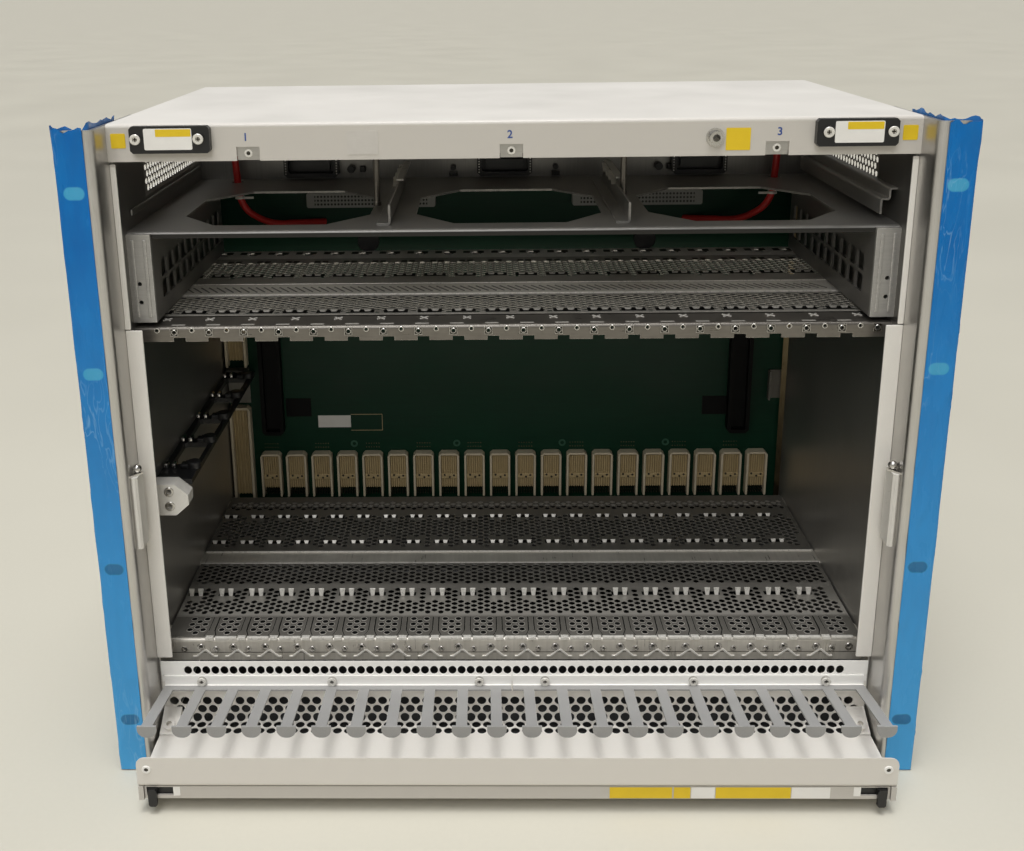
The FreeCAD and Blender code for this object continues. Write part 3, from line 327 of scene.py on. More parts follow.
finish("label_white", "#e4e1db", "#f1efea", 0.5, 12, 0.3, 0.03)
finish("label_grey", "#bdb8b1", "#cdc9c2", 0.5, 6, 0.4, 0.03)
finish("label_yellow", "#d9b70f", "#ecca22", 0.5, 12, 0.3, 0.03)
finish("number_blue", "#2b4583", "#38569a", 0.5, 6, 0.3, 0.02)
finish("blue_film", "#0559a6", "#0f7fcb", 0.24, 70, 5.0, 1.0, along=(1, 1, 5), contrast=2.2, spread=0.1,
       specular=0.22)
print(len(finishes), "finishes so far")

# %% [markdown]
# Some finishes change along the piece, and most of these changes are painted light and shade. The flange
# of the comb is white while its fingers are grey, and the flange is painted a little brighter still, a
# painted highlight, like the intake panel above it. The lip of the cover, the front of the trough's lip
# and the drawer strip are painted a little greyer than the cover, as painted shade. The walls are painted
# lighter low down inside and the front rows of the lower plate brighter than the rear ones, as painted
# light. The front faces of the cage plates are darker, the edges under the rails and the shelf are
# darkened as painted shade, and the film pales downwards. Each change is a row in a table: the finish, the
# new tone, and where it holds, worked out from the place on the piece, so no picture is needed.

# %% Masks from the place on a piece
def spot_on(tree):
    """The place on the piece in millimetres, as three values."""
    scaled = place(tree, "ShaderNodeVectorMath", {0: object_place(tree), "Scale": 1 / MM}, operation="SCALE")
    return place(tree, "ShaderNodeSeparateXYZ", {0: scaled.outputs[0]}).outputs


def measure(tree, kind):
    """Distance from the middle of the shelf, depth from the rail plane, or height."""
    x, y, z = spot_on(tree)
    if kind == "side":
        return calc(tree, "ABSOLUTE", x)
    if kind == "depth":
        return calc(tree, "SUBTRACT", y, rail_plane)
    return z


def retone(look, hex_code, *masks):
    """Blend a second tone into a finish where all the masks agree."""
    tree = finishes[look].node_tree
    shared = masks[0]
    for other in masks[1:]:
        shared = calc(tree, "MULTIPLY", shared, other)
    socket = tree.nodes["Principled BSDF"].inputs["Base Color"]
    tree.links.new(mix(tree, shared, socket.links[0].from_socket, tone(hex_code)), socket)


ZONES = [
    # white flange, grey fingers: the comb's own two-tone paint; the flange's extra brightness is a painted
    # highlight
    ("comb_paint", "#fbf9f4", [("depth", -14.2, -13.8)]),
    # the cover's lip: painted shade, greyer than the top
    ("white_paint", "#c6c1b9", [("height", 370.0, 371.0), ("depth", -12.0, -13.0)]),
    # the intake panel: painted highlight, brighter than the rest of the paint
    ("white_paint", "#fbf9f4", [("height", 46.0, 47.0), ("height", 64.0, 63.0), ("depth", -9.0, -10.0)]),
    # the front of the trough's lip: painted shade
    ("white_paint", "#dad5cd", [("depth", -70.0, -70.4)]),
    # the drawer strip: painted shade
    ("white_paint", "#c0bbb3", [("height", 18.4, 18.0), ("depth", -68.0, -69.0)]),
    # the walls: painted light, lighter low down
    ("wall_zinc", "#d2cfc9", [("side", 219.4, 219.0), ("height", 260.0, 60.0)]),
    # the front rows of the lower plate: painted light, brighter than the rear rows
    ("dull_zinc", "#aeaaa2", [("depth", 66.0, 34.0), ("depth", 23.0, 26.0), ("height", 100.0, 90.0)]),
    ("shelf_zinc", "#7b7874", [("depth", 0.6, 1.6)]),
    # the fan shelf's front edge: painted shade under the shelf
    ("bay_zinc", "#2b2a28", [("height", 329.9, 329.5), ("depth", 4.0, 3.0)]),
    # rail flanges seen through the lower plates: painted shade
    ("band_zinc", "#1c1b19", [("height", 69.4, 69.1), ("depth", 30.0, 31.0)]),
    # rail flanges seen through the upper plates: painted shade
    ("band_zinc_painted_light", "#1c1b19", [("height", 276.4, 276.2)]),
    ("blue_film", "#58b6ee", [("height", 330.0, -120.0)]),
]
for look, hex_code, rules in ZONES:
    tree = finishes[look].node_tree
    retone(look, hex_code, *[ramp(tree, measure(tree, kind), start, stop) for kind, start, stop in rules])
print(len(ZONES), "changes of tone by place")

# %% [markdown]
# The film is painted paler over the rack slots, where nothing lies behind it, as painted light, and a
# little less pale over the two lower slots; it also lets a little more light through there. A slot is a
# short line with a radius, so its mask is the distance to that line. Faint bright streaks are painted
# glints on the creased film: thin wandering lines of noise, kept only in patches.

# %% Rack slots and painted glints on the film
def off(tree, value, middle):
    """How far a value is from a middle."""
    return calc(tree, "ABSOLUTE", calc(tree, "SUBTRACT", value, middle))


def reach(tree, first, second):
    """The length of a way with two legs."""
    square = calc(tree, "MULTIPLY", second, second)
    return calc(tree, "SQRT", calc(tree, "MULTIPLY_ADD", first, first, square))


RACK_SLOT_X = 232.55
RACK_SLOT_HALF = 2.1
RACK_SLOTS_Z = (36.3, 137.9, 258.5, 360.1)
tree = finishes["blue_film"].node_tree
x, y, z = spot_on(tree)
across = calc(tree, "SUBTRACT", off(tree, calc(tree, "ABSOLUTE", x), RACK_SLOT_X), RACK_SLOT_HALF)
across = calc(tree, "MAXIMUM", across, 0.0)
away = off(tree, z, RACK_SLOTS_Z[0])
for level in RACK_SLOTS_Z[1:]:
    away = calc(tree, "MINIMUM", away, off(tree, z, level))
slot_mask = ramp(tree, reach(tree, away, across), 3.9, 3.1)
# painted light: paler over the rack slots, a little less pale over the two lower ones
retone("blue_film", "#47a9d6", slot_mask)
retone("blue_film", "#2c74a6", slot_mask, ramp(tree, z, 170.0, 160.0))
# painted glints: thin bright lines in patches on the creased film
GLINT_SCALE = (150.0, 150.0, 34.0)
GLINT_STRENGTH = 0.3
drawn = place(tree, "ShaderNodeVectorMath", {0: object_place(tree), 1: GLINT_SCALE}, operation="MULTIPLY")
veins = speckle(tree, drawn.outputs[0], 1.0, 2.0, Distortion=1.3)
thin = ramp(tree, off(tree, veins, 0.5), 0.03, 0.0)
patchy = ramp(tree, speckle(tree, drawn.outputs[0], 0.31, 1.0), 0.54, 0.68)
retone("blue_film", "#a4d3f0", thin, patchy, GLINT_STRENGTH)
cover_left = ramp(tree, slot_mask, 0.0, 1.0, 0.97, 0.88)
tree.links.new(cover_left, tree.nodes["Principled BSDF"].inputs["Alpha"])
print("film: paler at", len(RACK_SLOTS_Z), "slots an ear")

# %% [markdown]
# The two grey shelf connectors have three rows of small round holes. The holes are too fine to be cut, so
# the finish paints their shade: it darkens every point that lies close to a place of the regular grid.

# %% Holes of the shelf connectors
DIN_X, DIN_Z, DIN_PITCH, DIN_ROW = 99.0, 310.7, 2.54, 2.9
tree = finishes["grey_plastic"].node_tree
x, y, z = spot_on(tree)
part = calc(tree, "FRACT", calc(tree, "DIVIDE", x, DIN_PITCH))
across = calc(tree, "MULTIPLY", calc(tree, "SUBTRACT", part, 0.5), DIN_PITCH)
rise = calc(tree, "SUBTRACT", z, DIN_Z)
row = calc(tree, "ROUND", calc(tree, "DIVIDE", rise, DIN_ROW))
along = calc(tree, "SUBTRACT", rise, calc(tree, "MULTIPLY", row, DIN_ROW))
in_rows = ramp(tree, calc(tree, "ABSOLUTE", rise), 4.3, 4.1)
in_width = ramp(tree, off(tree, calc(tree, "ABSOLUTE", x), DIN_X), 42.2, 42.0)
retone("grey_plastic", "#0d0d0c", ramp(tree, reach(tree, along, across), 1.0, 0.7), in_rows, in_width)
print("shelf connectors: holes every %.2f mm" % DIN_PITCH)

# %% [markdown]
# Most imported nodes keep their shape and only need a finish. Those that a dressed piece stands in for are
# left out, because they are hidden later.

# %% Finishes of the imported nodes
NODE_FINISHES = {
    "white_paint": ["top_cover", "filter_drawer", "trough_bushes"],
    "comb_paint": ["comb_left", "comb_right"],
    "zinc_sheet": ["fan_lock_strip", "rear_panel"],
    "wall_zinc": ["fan_bay_wall"],
    "pan_painted_shade": ["base_pan"],
    "shelf_zinc": ["cage_plate_left", "cage_plate_right"],
    "bay_zinc": ["fan_shelf", "fan_guide_left", "fan_guide_right", "fan_runner"],
    "band_zinc": ["bottom_front_rail", "bottom_middle_rail", "bottom_rear_rail"],
    # the upper rails take the brightened copy, painted light
    "band_zinc_painted_light": ["mid_middle_rail", "mid_rear_rail"],
    "rail_zinc": ["mid_front_rail", "support_rods"],
    "bright_steel": ["earth_socket", "cover_catch_left", "cover_catch_right", "ear_screws",
                     "backplane_standoffs", "terminal_cover_screws", "comb_screws"],
    "ear_aluminium": ["rack_ear_left", "rack_ear_right"],
    "copper_strip": ["edge_gasket"],
    "black_plastic": ["terminal_cover_left", "terminal_cover_right", "fan_connectors", "divider_guide",
                      "drawer_latch_left", "drawer_latch_right"],
    "deep_black": ["power_connectors"],
    "grey_plastic": ["shelf_connectors"],
    "milky_plastic": ["divider_block", "cover_latch_bar_left", "cover_latch_bar_right"],
    "board_green": ["backplane"],
    "red_cord": ["red_lead_left", "red_lead_right"],
    "dark_foam": ["filter_mat"],
    "dull_zinc": ["control_bracket", "backplane_clamp"],
}
for look, names in NODE_FINISHES.items():
    for name in names:
        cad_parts[name].data.materials.clear()
        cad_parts[name].data.materials.append(finishes[look])
print("finishes given to", sum(len(names) for names in NODE_FINISHES.values()), "nodes")

# %% [markdown]
# One helper turns a finished bmesh into a piece: it moves the mesh to the rail plane, brings it to metres,
# gives it a finish and lets it ride on its body. Each finish stands for one of the record's materials.


def settle(bm, name, look, body="chassis", instead=()):
    """Make an object of a bmesh drawn in millimetres from the rail plane."""
    bmesh.ops.translate(bm, verts=bm.verts, vec=(0, rail_plane, 0))
    bmesh.ops.scale(bm, verts=bm.verts, vec=(MM, MM, MM))
    mesh = bpy.data.meshes.new(name)
    bm.to_mesh(mesh)
    bm.free()
    piece = bpy.data.objects.new(name, mesh)
    scene.collection.objects.link(piece)
    mesh.materials.append(finishes[look])
    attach(piece, body)
    if instead:
        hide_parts(*instead)
    print(name, len(mesh.polygons), "faces")


def blocks(name, look, places, bevel=0.0, along=(), instead=()):
    """A piece made of blocks, each between three pairs of limits, and repeated along the shelf."""
    bm = bmesh.new()
    for x, y, z in places:
        block(bm, x, y, z, bevel)
    repeat_x(bm, along)
    settle(bm, name, look, instead=instead)


# %% [markdown]
# The cards slide on perforated plates. On the real shelf these are punched from thin sheet in a staggered
# pattern, and copying a ring thousands of times would be slow. A quicker way starts from a grid: every
# second column moves half a step, the quads are split along their short diagonal, and a vertex bevel opens
# a six-sided hole at every point that a rule picks. The rest of the sheet stays whole.

# %% A sheet with a staggered field of holes
def perforated(across, along, steps, hole, rule=None):
    """A flat sheet with holes of one size on a staggered grid, at every point or where a rule says."""
    bm = bmesh.new()
    span = (across[1] - across[0], along[1] - along[0], 1)
    columns = round(span[0] / steps[0])
    rows = round(span[1] / steps[1])
    bmesh.ops.create_grid(bm, x_segments=columns, y_segments=rows, size=0.5)
    bmesh.ops.scale(bm, verts=bm.verts, vec=span)
    bmesh.ops.translate(bm, verts=bm.verts, vec=(sum(across) / 2, sum(along) / 2, 0))
    inner = [v for v in bm.verts if not v.is_boundary]
    odd = [v for v in inner if round((v.co.x - across[0]) / span[0] * columns) % 2]
    bmesh.ops.translate(bm, verts=odd, vec=(0, span[1] / rows / 2, 0))
    bmesh.ops.triangulate(bm, faces=bm.faces, quad_method="SHORT_EDGE")
    points = [v for v in inner if len(v.link_edges) == 6 and (rule is None or rule(v.co.x, v.co.y))]
    cut = bmesh.ops.bevel(bm, geom=points, offset=hole / 2, offset_type="OFFSET", segments=1, profile=0.5,
                          affect="VERTICES", material=-1)
    bmesh.ops.delete(bm, geom=cut["faces"], context="FACES")
    return bm


def solid(bm, thickness):
    """Give a sheet its thickness."""
    bmesh.ops.solidify(bm, geom=bm.faces[:] + bm.edges[:] + bm.verts[:], thickness=thickness)


def thicken(bm, thickness):
    """Turn a sheet's faces one way and give it its thickness, behind the drawn face."""
    bmesh.ops.recalc_face_normals(bm, faces=bm.faces)
    solid(bm, thickness)


HOLE_STEPS = (4.3, 5.08)
HOLE = 4.4
SHEET = 0.35
plate_x = (-wall_in + 1, wall_in - 1)
print("hole pattern %.2f by %.2f mm, holes %.1f mm" % (*HOLE_STEPS, HOLE))

# %% [markdown]
# The holes come in whole rows, and in short groups between the claws that lead the cards. A table gives
# the depths of both for each plate. The front plate of the main cage has a step across it, and before it
# lies a strip without open holes.

# %% Guide plates of both cages
CLAW_SHIFT = -7.4
CELL_SHIFT = CLAW_SHIFT + SLOT_PITCH / 2
GROUP_HALF = 4.2
STEP_Y = (58.0, 62.5)
STEP_RISE = 1.3
CELL_END = 24.0
REAR_SETBACK = 3.2
FAR = 999.0
low_front_y, low_front_z = limits("bottom_guide_front")[1:]
low_rear_y, low_rear_z = limits("bottom_guide_rear")[1:]
mid_front_y, mid_front_z = limits("mid_guide_front")[1:]
mid_rear_y, mid_rear_z = limits("mid_guide_rear")[1:]
low_rear_y = (low_rear_y[0] + REAR_SETBACK, low_rear_y[1])
low_front_top, low_rear_top = low_front_z[1], low_rear_z[1]
mid_front_top, mid_rear_top = mid_front_z[1], mid_rear_z[1]


def holes_at(rows, groups):
    """A rule for whole rows and for short groups between the claws, each between two depths."""
    def rule(x, y):
        turn = (x - CELL_SHIFT) / SLOT_PITCH
        between_claws = abs(turn - round(turn)) * SLOT_PITCH < GROUP_HALF
        return any(a < y < b for a, b in (rows + groups if between_claws else rows))
    return rule


PLATES = (
    ("bottom_front_grid", "bottom_guide_front", "dull_zinc", (CELL_END, low_front_y[1]), low_front_top,
     STEP_RISE, [(0, 43.5), (STEP_Y[1], FAR)], [(0, STEP_Y[0])]),
    ("bottom_rear_grid", "bottom_guide_rear", "dull_zinc", low_rear_y, low_rear_top,
     0.0, [(127, 153), (171, 184)], [(112, 127), (153, 161)]),
    ("mid_front_grid", "mid_guide_front", "plate_zinc", mid_front_y, mid_front_top,
     0.0, [(31, FAR)], [(-FAR, FAR)]),
    ("mid_rear_grid", "mid_guide_rear", "plate_zinc", mid_rear_y, mid_rear_top,
     0.0, [(108, 137)], [(96, 108)]),
)
blocks("bottom_cell_sheet", "dull_zinc",
       [(plate_x, (low_front_y[0], CELL_END), (low_front_top - SHEET, low_front_top))], 0.15,
       instead=["bottom_guide_front"])
for name, node, look, y, top, rise, rows, groups in PLATES:
    bm = perforated(plate_x, y, HOLE_STEPS, HOLE, holes_at(rows, groups))
    for v in bm.verts:
        climbed = (v.co.y - STEP_Y[0]) / (STEP_Y[1] - STEP_Y[0])
        v.co.z = top + rise * min(max(climbed, 0), 1)
    thicken(bm, SHEET)
    settle(bm, name, look, instead=[node])

# %% [markdown]
# The front edges of the rear plates and of the rails between them are rolled, and show as thin bright lines
# along the whole width, painted highlights in the bright finish. The front strip of the lower plate has
# groups of half-closed holes: a dark disc of painted shade in a thin ring stands for each. A ring is its
# section spun round an axis.

# %% Rolled edges and half-closed holes
def collar(bm, centre, direction, inner, outer, height, sides=16):
    """Add a ring by spinning its section round an axis."""
    axis = Vector(direction).normalized()
    side = axis.orthogonal().normalized()
    section = [(inner, 0), (outer, 0), (outer, height * 0.6), (outer - height * 0.4, height), (inner, height)]
    verts = [bm.verts.new(Vector(centre) + side * r + axis * h) for r, h in section]
    edges = [bm.edges.new(pair) for pair in zip(verts, verts[1:] + verts[:1])]
    bmesh.ops.spin(bm, geom=verts + edges, cent=centre, axis=axis, angle=2 * math.pi, steps=sides,
                   use_merge=True)


def weld(bm):
    """Join what lies double and turn all faces outwards."""
    bmesh.ops.remove_doubles(bm, verts=bm.verts, dist=0.001)
    bmesh.ops.recalc_face_normals(bm, faces=bm.faces)


def rings(name, look, places):
    """A piece made of rings that face the front, each given by its centre, radii, height and sides."""
    bm = bmesh.new()
    for x, y, z, inner, outer, height, sides in places:
        collar(bm, (x, y, z), FRONT, inner, outer, height, sides)
    weld(bm)
    settle(bm, name, look)


ROLL_BACK = 7
low_step_y, low_step_z = limits("bottom_middle_rail")[1:]
mid_step_y, mid_step_z = limits("mid_middle_rail")[1:]
ROLLS = ((low_rear_y[0], low_rear_top, 1.5), (low_step_y[0] + ROLL_BACK, low_step_z[1], 0.8),
         (mid_rear_y[0], mid_rear_top, 0.7), (mid_step_y[0] + ROLL_BACK, mid_step_z[1], 1.2))
blocks("rolled_edges", "highlight_zinc",
       [(plate_x, (y - 0.5, y + 0.3), (z - thick, z + 0.15)) for y, z, thick in ROLLS], 0.3)
CELL_HOLES = [(dx, y) for dx in (-4.2, 4.2) for y in (8.6, 14.7, 20.8)] + [(0, y) for y in (5.1, 11.4, 17.7)]
CELL_RADIUS = 1.85
discs = bmesh.new()
rims = bmesh.new()
for dx, y in CELL_HOLES:
    x = slot_x[0] + CELL_SHIFT + dx
    pin(discs, (x, y, low_front_top - 0.1), UP, CELL_RADIUS, 0.14, 10)
    collar(rims, (x, y, low_front_top - 0.05), UP, CELL_RADIUS, 2.25, 0.25, 10)
weld(rims)
for bm, name, look in ((discs, "cell_hole_shade", "deep_black"), (rims, "cell_rims", "plate_zinc")):
    repeat_x(bm, slot_x)
    settle(bm, name, look)
print(len(CELL_HOLES), "half-closed holes a slot")

# %% [markdown]
# Pairs of claws stand up from the plates and lead each card's edge; the lower ones are in the bright finish
# of painted highlights. They are small tongues bent from the sheet, wider at the tip, so each is a thin block
# whose foot is drawn in before its edges are rounded. A dark patch at each pair paints the shadow in the
# slot it leaves in the sheet. One pair is drawn and then repeated along the slots.

# %% Card claws
LOW_CLAWS = list(zip((49.5, 117.0, 157.0), (low_front_top, low_rear_top, low_rear_top)))
MID_CLAWS = [(mid_front_y[0] + 6, mid_front_top), (mid_rear_y[0] + 20, mid_rear_top)]
claw_x = slot_x[0] + CLAW_SHIFT


def claw_pair(bm, y, z, width=3.9, height=4.0, apart=6.1, lean=16):
    """The two claws of the first slot."""
    turn = Matrix.Rotation(math.radians(-lean), 4, "X")
    for side in (-1, 1):
        middle = Vector((claw_x + side * apart / 2, y, z + height / 2 - 0.2))
        size = Matrix.Diagonal((width, 1.0, height, 1))
        made = bmesh.ops.create_cube(bm, size=1.0, matrix=Matrix.Translation(middle) @ turn @ size)["verts"]
        foot = [v for v in made if v.co.z < middle.z]
        bmesh.ops.scale(bm, verts=foot, vec=(0.62, 1, 1), space=Matrix.Translation(-middle))
        soften(bm, made, 0.35)


bm = bmesh.new()
claw_pair(bm, *LOW_CLAWS[0], height=5.2)
for y, z in LOW_CLAWS[1:]:
    claw_pair(bm, y, z, height=2.6, lean=30)
repeat_x(bm, slot_x)
settle(bm, "bottom_claws", "highlight_zinc")
bm = bmesh.new()
claw_pair(bm, *MID_CLAWS[0], 5.0, 1.8, 6.6, 55)
claw_pair(bm, *MID_CLAWS[1], 4.4, 1.4, lean=55)
repeat_x(bm, slot_x)
settle(bm, "upper_claws", "plate_zinc")
# dark patches at the claws: painted shadow
SLOT_SHADOWS = ((MID_CLAWS, 7.2, 3.0, 4.0), (LOW_CLAWS, 5.6, 0.4, 3.6))
blocks("claw_slot_shadows", "deep_black",
       [(around(claw_x, half_width), (y - before, y + behind), (top - 0.2, top + 0.05))
        for claws, half_width, before, behind in SLOT_SHADOWS for y, top in claws], along=slot_x)

# %% [markdown]
# At the front of the lower plate a raised funnel between two slots steers the cards in. It is a flat tongue
# that widens towards the front, ringed by a dark outline of painted shadow. The rail in front carries tabs
# over its edge at each of these places, in the bright finish of painted highlights.

# %% Funnels and rail tabs
FUNNEL = [(3.4, 1.8), (1.5, 7.5), (1.4, 23.0)]
funnel_x = slot_x[1] + CLAW_SHIFT
low_rail_top = rail_z[1]
# the second layer is painted shadow: a dark outline a little wider than the funnel
LAYERS = (("slot_funnels", 0.0, 0.5, "dull_zinc"), ("funnel_shadows", 0.7, 0.06, "deep_black"))
for name, outset, height, look in LAYERS:
    bm = bmesh.new()
    legs = [(dx + outset, y) for dx, y in FUNNEL]
    corners = [(funnel_x + dx, y) for dx, y in legs] + [(funnel_x - dx, y) for dx, y in legs[::-1]]
    foot = [bm.verts.new((x, y, low_front_top - 0.05)) for x, y in corners]
    raised = bmesh.ops.extrude_face_region(bm, geom=[bm.faces.new(foot)])["geom"]
    bmesh.ops.translate(bm, verts=verts_in(raised), vec=(0, 0, height + 0.05))
    repeat_x(bm, slot_x[1:])
    bmesh.ops.recalc_face_normals(bm, faces=bm.faces)
    settle(bm, name, look)
TABS = [(around(funnel_x, 2.5), (-0.7, 2.4), (low_rail_top - 1.0, low_rail_top + 1.3)),
        ((funnel_x + 3.4, funnel_x + 17.0), (-0.3, 1.6), (low_rail_top - 0.5, low_rail_top + 1.2))]
blocks("rail_tabs", "highlight_zinc", TABS, 0.3, slot_x[1:])

# %% [markdown]
# Along each front rail a pressed collar surrounds every threaded hole, with a smaller one beside it. On the
# upper rail a four-sided clip goes round the collar too, and a dark ring round the collar paints the shadow
# there.

# %% Collars of the front rails
HOLE_SHIFT = 7.26
LOW_HOLE_Z = 63.0
mid_rail_top = limits("mid_front_rail")[2][1]
MID_HOLE_Z = mid_rail_top - 3.5
COLLARS = ((HOLE_SHIFT, LOW_HOLE_Z, 1.4, 2.5, 0.6, 14), (-3.46, LOW_HOLE_Z - 1.4, 1.2, 2.0, 0.4, 12),
           (HOLE_SHIFT, MID_HOLE_Z, 1.3, 1.8, 0.6, 14), (HOLE_SHIFT, MID_HOLE_Z, 2.9, 3.4, 0.5, 4),
           (-2.6, MID_HOLE_Z + 1.2, 1.1, 1.7, 0.4, 12))
# the dark ring is painted shadow
COLLAR_SHADOWS = ((HOLE_SHIFT, MID_HOLE_Z, 1.8, 2.6, 0.2, 14),)
for name, look, group in (
        ("rail_collars", "bright_steel", COLLARS), ("rail_collar_shadows", "dark_contact_and_shade", COLLAR_SHADOWS)):
    rings(name, look, [(x + dx, -0.05, z, *ring) for x in slot_x for dx, z, *ring in group])

# %% [markdown]
# Below the collars the lower rail has chevrons pressed into it and a thin seam. The upper rail has short
# dashes and small crosses on its top face. All of them are slim rounded bars; the chevrons and the crosses
# are in the bright finish of painted highlights.

# %% Chevrons, dashes, seam and crosses
CHEVRON_SHIFT = 9.8
CROSS_PITCH = 25.4
CROSSES = 17
chevron_x = slot_x[0] + CHEVRON_SHIFT
bm = bmesh.new()
for side in (-1, 1):
    lean = Matrix.Rotation(side * math.radians(42), 4, "Y")
    block(bm, around(chevron_x + side * 2.9, 3.6), (-0.7, 0.2), (58.2, 59.5), 0.3, lean)
    block(bm, around(chevron_x + side * 6.6, 1.3), (-0.7, 0.2), (55.9, 57.0), 0.3)
repeat_x(bm, slot_x[:-1])
settle(bm, "rail_chevrons", "highlight_zinc")
DASH = ((chevron_x - 4.5, chevron_x + 3.5), (2.4, 4.2), (mid_rail_top - 0.2, mid_rail_top + 0.25))
blocks("rail_dashes", "plate_zinc", [DASH], 0.2, slot_x[:-1])
blocks("rail_seam", "dark_contact_and_shade", [(plate_x, (-0.06, 0.1), (59.0, 59.4))])
bm = bmesh.new()
for side in (-1, 1):
    lean = Matrix.Rotation(side * math.radians(46), 4, "Z")
    block(bm, (-206.5, -200.1), (13.5, 14.5), (mid_rail_top - 0.2, mid_rail_top + 0.5), 0.25, lean)
repeat_x(bm, [CROSS_PITCH * k for k in range(CROSSES)])
settle(bm, "rail_crosses", "highlight_zinc")

# %% [markdown]
# The fibre trough is one painted sheet: a perforated back wall, a round bend, the floor and a front lip.
# Its holes are large enough to be seen as circles. One cell is a square outline bridged to a circle, the
# cell is repeated row by row with half a step between rows, the edges are drawn out to make the plain
# parts, and the flat sheet is then wrapped along its profile.

# %% Round holes in a flat strip
def hole_cells(columns, pitch, row_pitch, hole, row_at, tall=1.0):
    """Rows of round holes, staggered, each in its own rectangular cell."""
    bm = bmesh.new()
    outline = bmesh.ops.create_grid(bm, x_segments=1, y_segments=1, size=0.5)["verts"]
    bmesh.ops.scale(bm, verts=outline, vec=(pitch, row_pitch, 1))
    bmesh.ops.delete(bm, geom=bm.faces[:], context="FACES_ONLY")
    bmesh.ops.subdivide_edges(bm, edges=bm.edges[:], cuts=3)
    bmesh.ops.create_circle(bm, segments=16, radius=hole / 2, matrix=Matrix.Diagonal((1, tall, 1, 1)))
    bmesh.ops.bridge_loops(bm, edges=bm.edges[:])
    first = -(columns - 1) / 2 * pitch
    shift = pitch / 4 if len(row_at) > 1 else 0
    places = [(first + k * pitch + (shift if n % 2 else -shift), row, 0)
              for n, row in enumerate(row_at) for k in range(columns)]
    bmesh.ops.translate(bm, verts=bm.verts, vec=places[0])
    repeat(bm, places)
    bmesh.ops.remove_doubles(bm, verts=bm.verts, dist=0.02)
    upright = [e for e in bm.edges if e.is_boundary and abs(e.verts[0].co.x - e.verts[1].co.x) < 0.01]
    for v in {v for e in upright for v in e.verts}:
        v.co.x = math.copysign(wall_in, v.co.x)
    return bm


def draw_out(bm, start, stops):
    """Extend the straight edge at one distance along the sheet to further distances."""
    for stop in stops:
        edges = [e for e in bm.edges if all(abs(v.co.y - start) < 0.02 for v in e.verts) and e.is_boundary]
        made = bmesh.ops.extrude_edge_only(bm, edges=edges)["geom"]
        bmesh.ops.translate(bm, verts=verts_in(made), vec=(0, stop - start, 0))
        start = stop


print("helpers ready: hole_cells, draw_out")

# %% The profile that the trough is wrapped along
BEND = 2.0
WALL_Y = -12.0
SKIN = 0.5
LIP_TOP = 37.7
INTAKE_Z = 54.8
INTAKE_HALF = 3.4
trough_y, trough_z = limits("fibre_trough")[1:]
lip_y = trough_y[0] + SKIN
floor_z = trough_z[0] + SKIN
hidden_z = INTAKE_Z - INTAKE_HALF
quarter = math.pi / 2 * BEND
fall = hidden_z - floor_z - BEND
run = WALL_Y - lip_y - 2 * BEND
floor_end = fall + quarter + run


def trough_profile(s):
    """Depth and height of the sheet at a distance along it, from behind the comb to the top of the lip."""
    if s < fall:
        return WALL_Y, hidden_z - s
    s -= fall
    if s < quarter:
        return WALL_Y - BEND * (1 - math.cos(s / BEND)), floor_z + BEND * (1 - math.sin(s / BEND))
    s -= quarter
    if s < run:
        return WALL_Y - BEND - s, floor_z
    s -= run
    if s < quarter:
        return lip_y + BEND * (1 - math.sin(s / BEND)), floor_z + BEND * (1 - math.cos(s / BEND))
    return lip_y, floor_z + BEND + s - quarter


print("wall %.1f, floor %.1f, lip %.1f mm" % (fall, run, LIP_TOP - floor_z))

# %% [markdown]
# The flat sheet gets its five rows of holes, and its upper corners at the lip are rounded before it is
# wrapped. The intake panel above has one row of taller holes. Both are joined into one piece at the end.

# %% Trough and intake panel
TROUGH_PITCH = 6.9
TROUGH_ROW = 5.85
CORNER = 5.0
rows = [hidden_z - 32.5 + TROUGH_ROW * k for k in range(5)]
bm = hole_cells(62, TROUGH_PITCH, TROUGH_ROW, 5.7, rows)
draw_out(bm, rows[0] - TROUGH_ROW / 2, [0.0])
stops = [floor_end] + [floor_end + quarter * k / 4 for k in (1, 2, 3, 4)]
stops.append(floor_end + quarter + LIP_TOP - floor_z - BEND)
draw_out(bm, rows[-1] + TROUGH_ROW / 2, stops)
for side in (-1, 1):
    for part in (1.0, 0.6, 0.3, 0.1):
        ends = [f for f in bm.faces if f.calc_center_median().y > floor_end]
        geom = ends + list({e for f in ends for e in f.edges}) + list({v for f in ends for v in f.verts})
        bmesh.ops.bisect_plane(bm, geom=geom, plane_co=(side * (wall_in - CORNER * part), 0, 0),
                               plane_no=(1, 0, 0))
for v in bm.verts:
    inside = abs(v.co.x) - wall_in + CORNER
    if v.co.y > stops[-1] - 0.1 and inside > 0:
        v.co.y -= CORNER - math.sqrt(CORNER ** 2 - inside ** 2)
    v.co.y, v.co.z = trough_profile(v.co.y)
bmesh.ops.recalc_face_normals(bm, faces=bm.faces)
wrapped = bpy.data.meshes.new("wrapped")
bm.to_mesh(wrapped)
bm.free()
bm = hole_cells(72, 5.68, 2 * INTAKE_HALF, 5.0, [INTAKE_Z], 1.16)
draw_out(bm, INTAKE_Z + INTAKE_HALF, [trough_z[1]])
for v in bm.verts:
    v.co.y, v.co.z = WALL_Y, v.co.y
bm.from_mesh(wrapped)
bpy.data.meshes.remove(wrapped)
bmesh.ops.recalc_face_normals(bm, faces=bm.faces)
on_floor = [f for f in bm.faces if abs(f.calc_center_median().z - floor_z) < 0.01]
solid(bm, SKIN if on_floor[0].normal.z > 0 else -SKIN)
settle(bm, "trough_sheet", "white_paint", instead=["fibre_trough"])

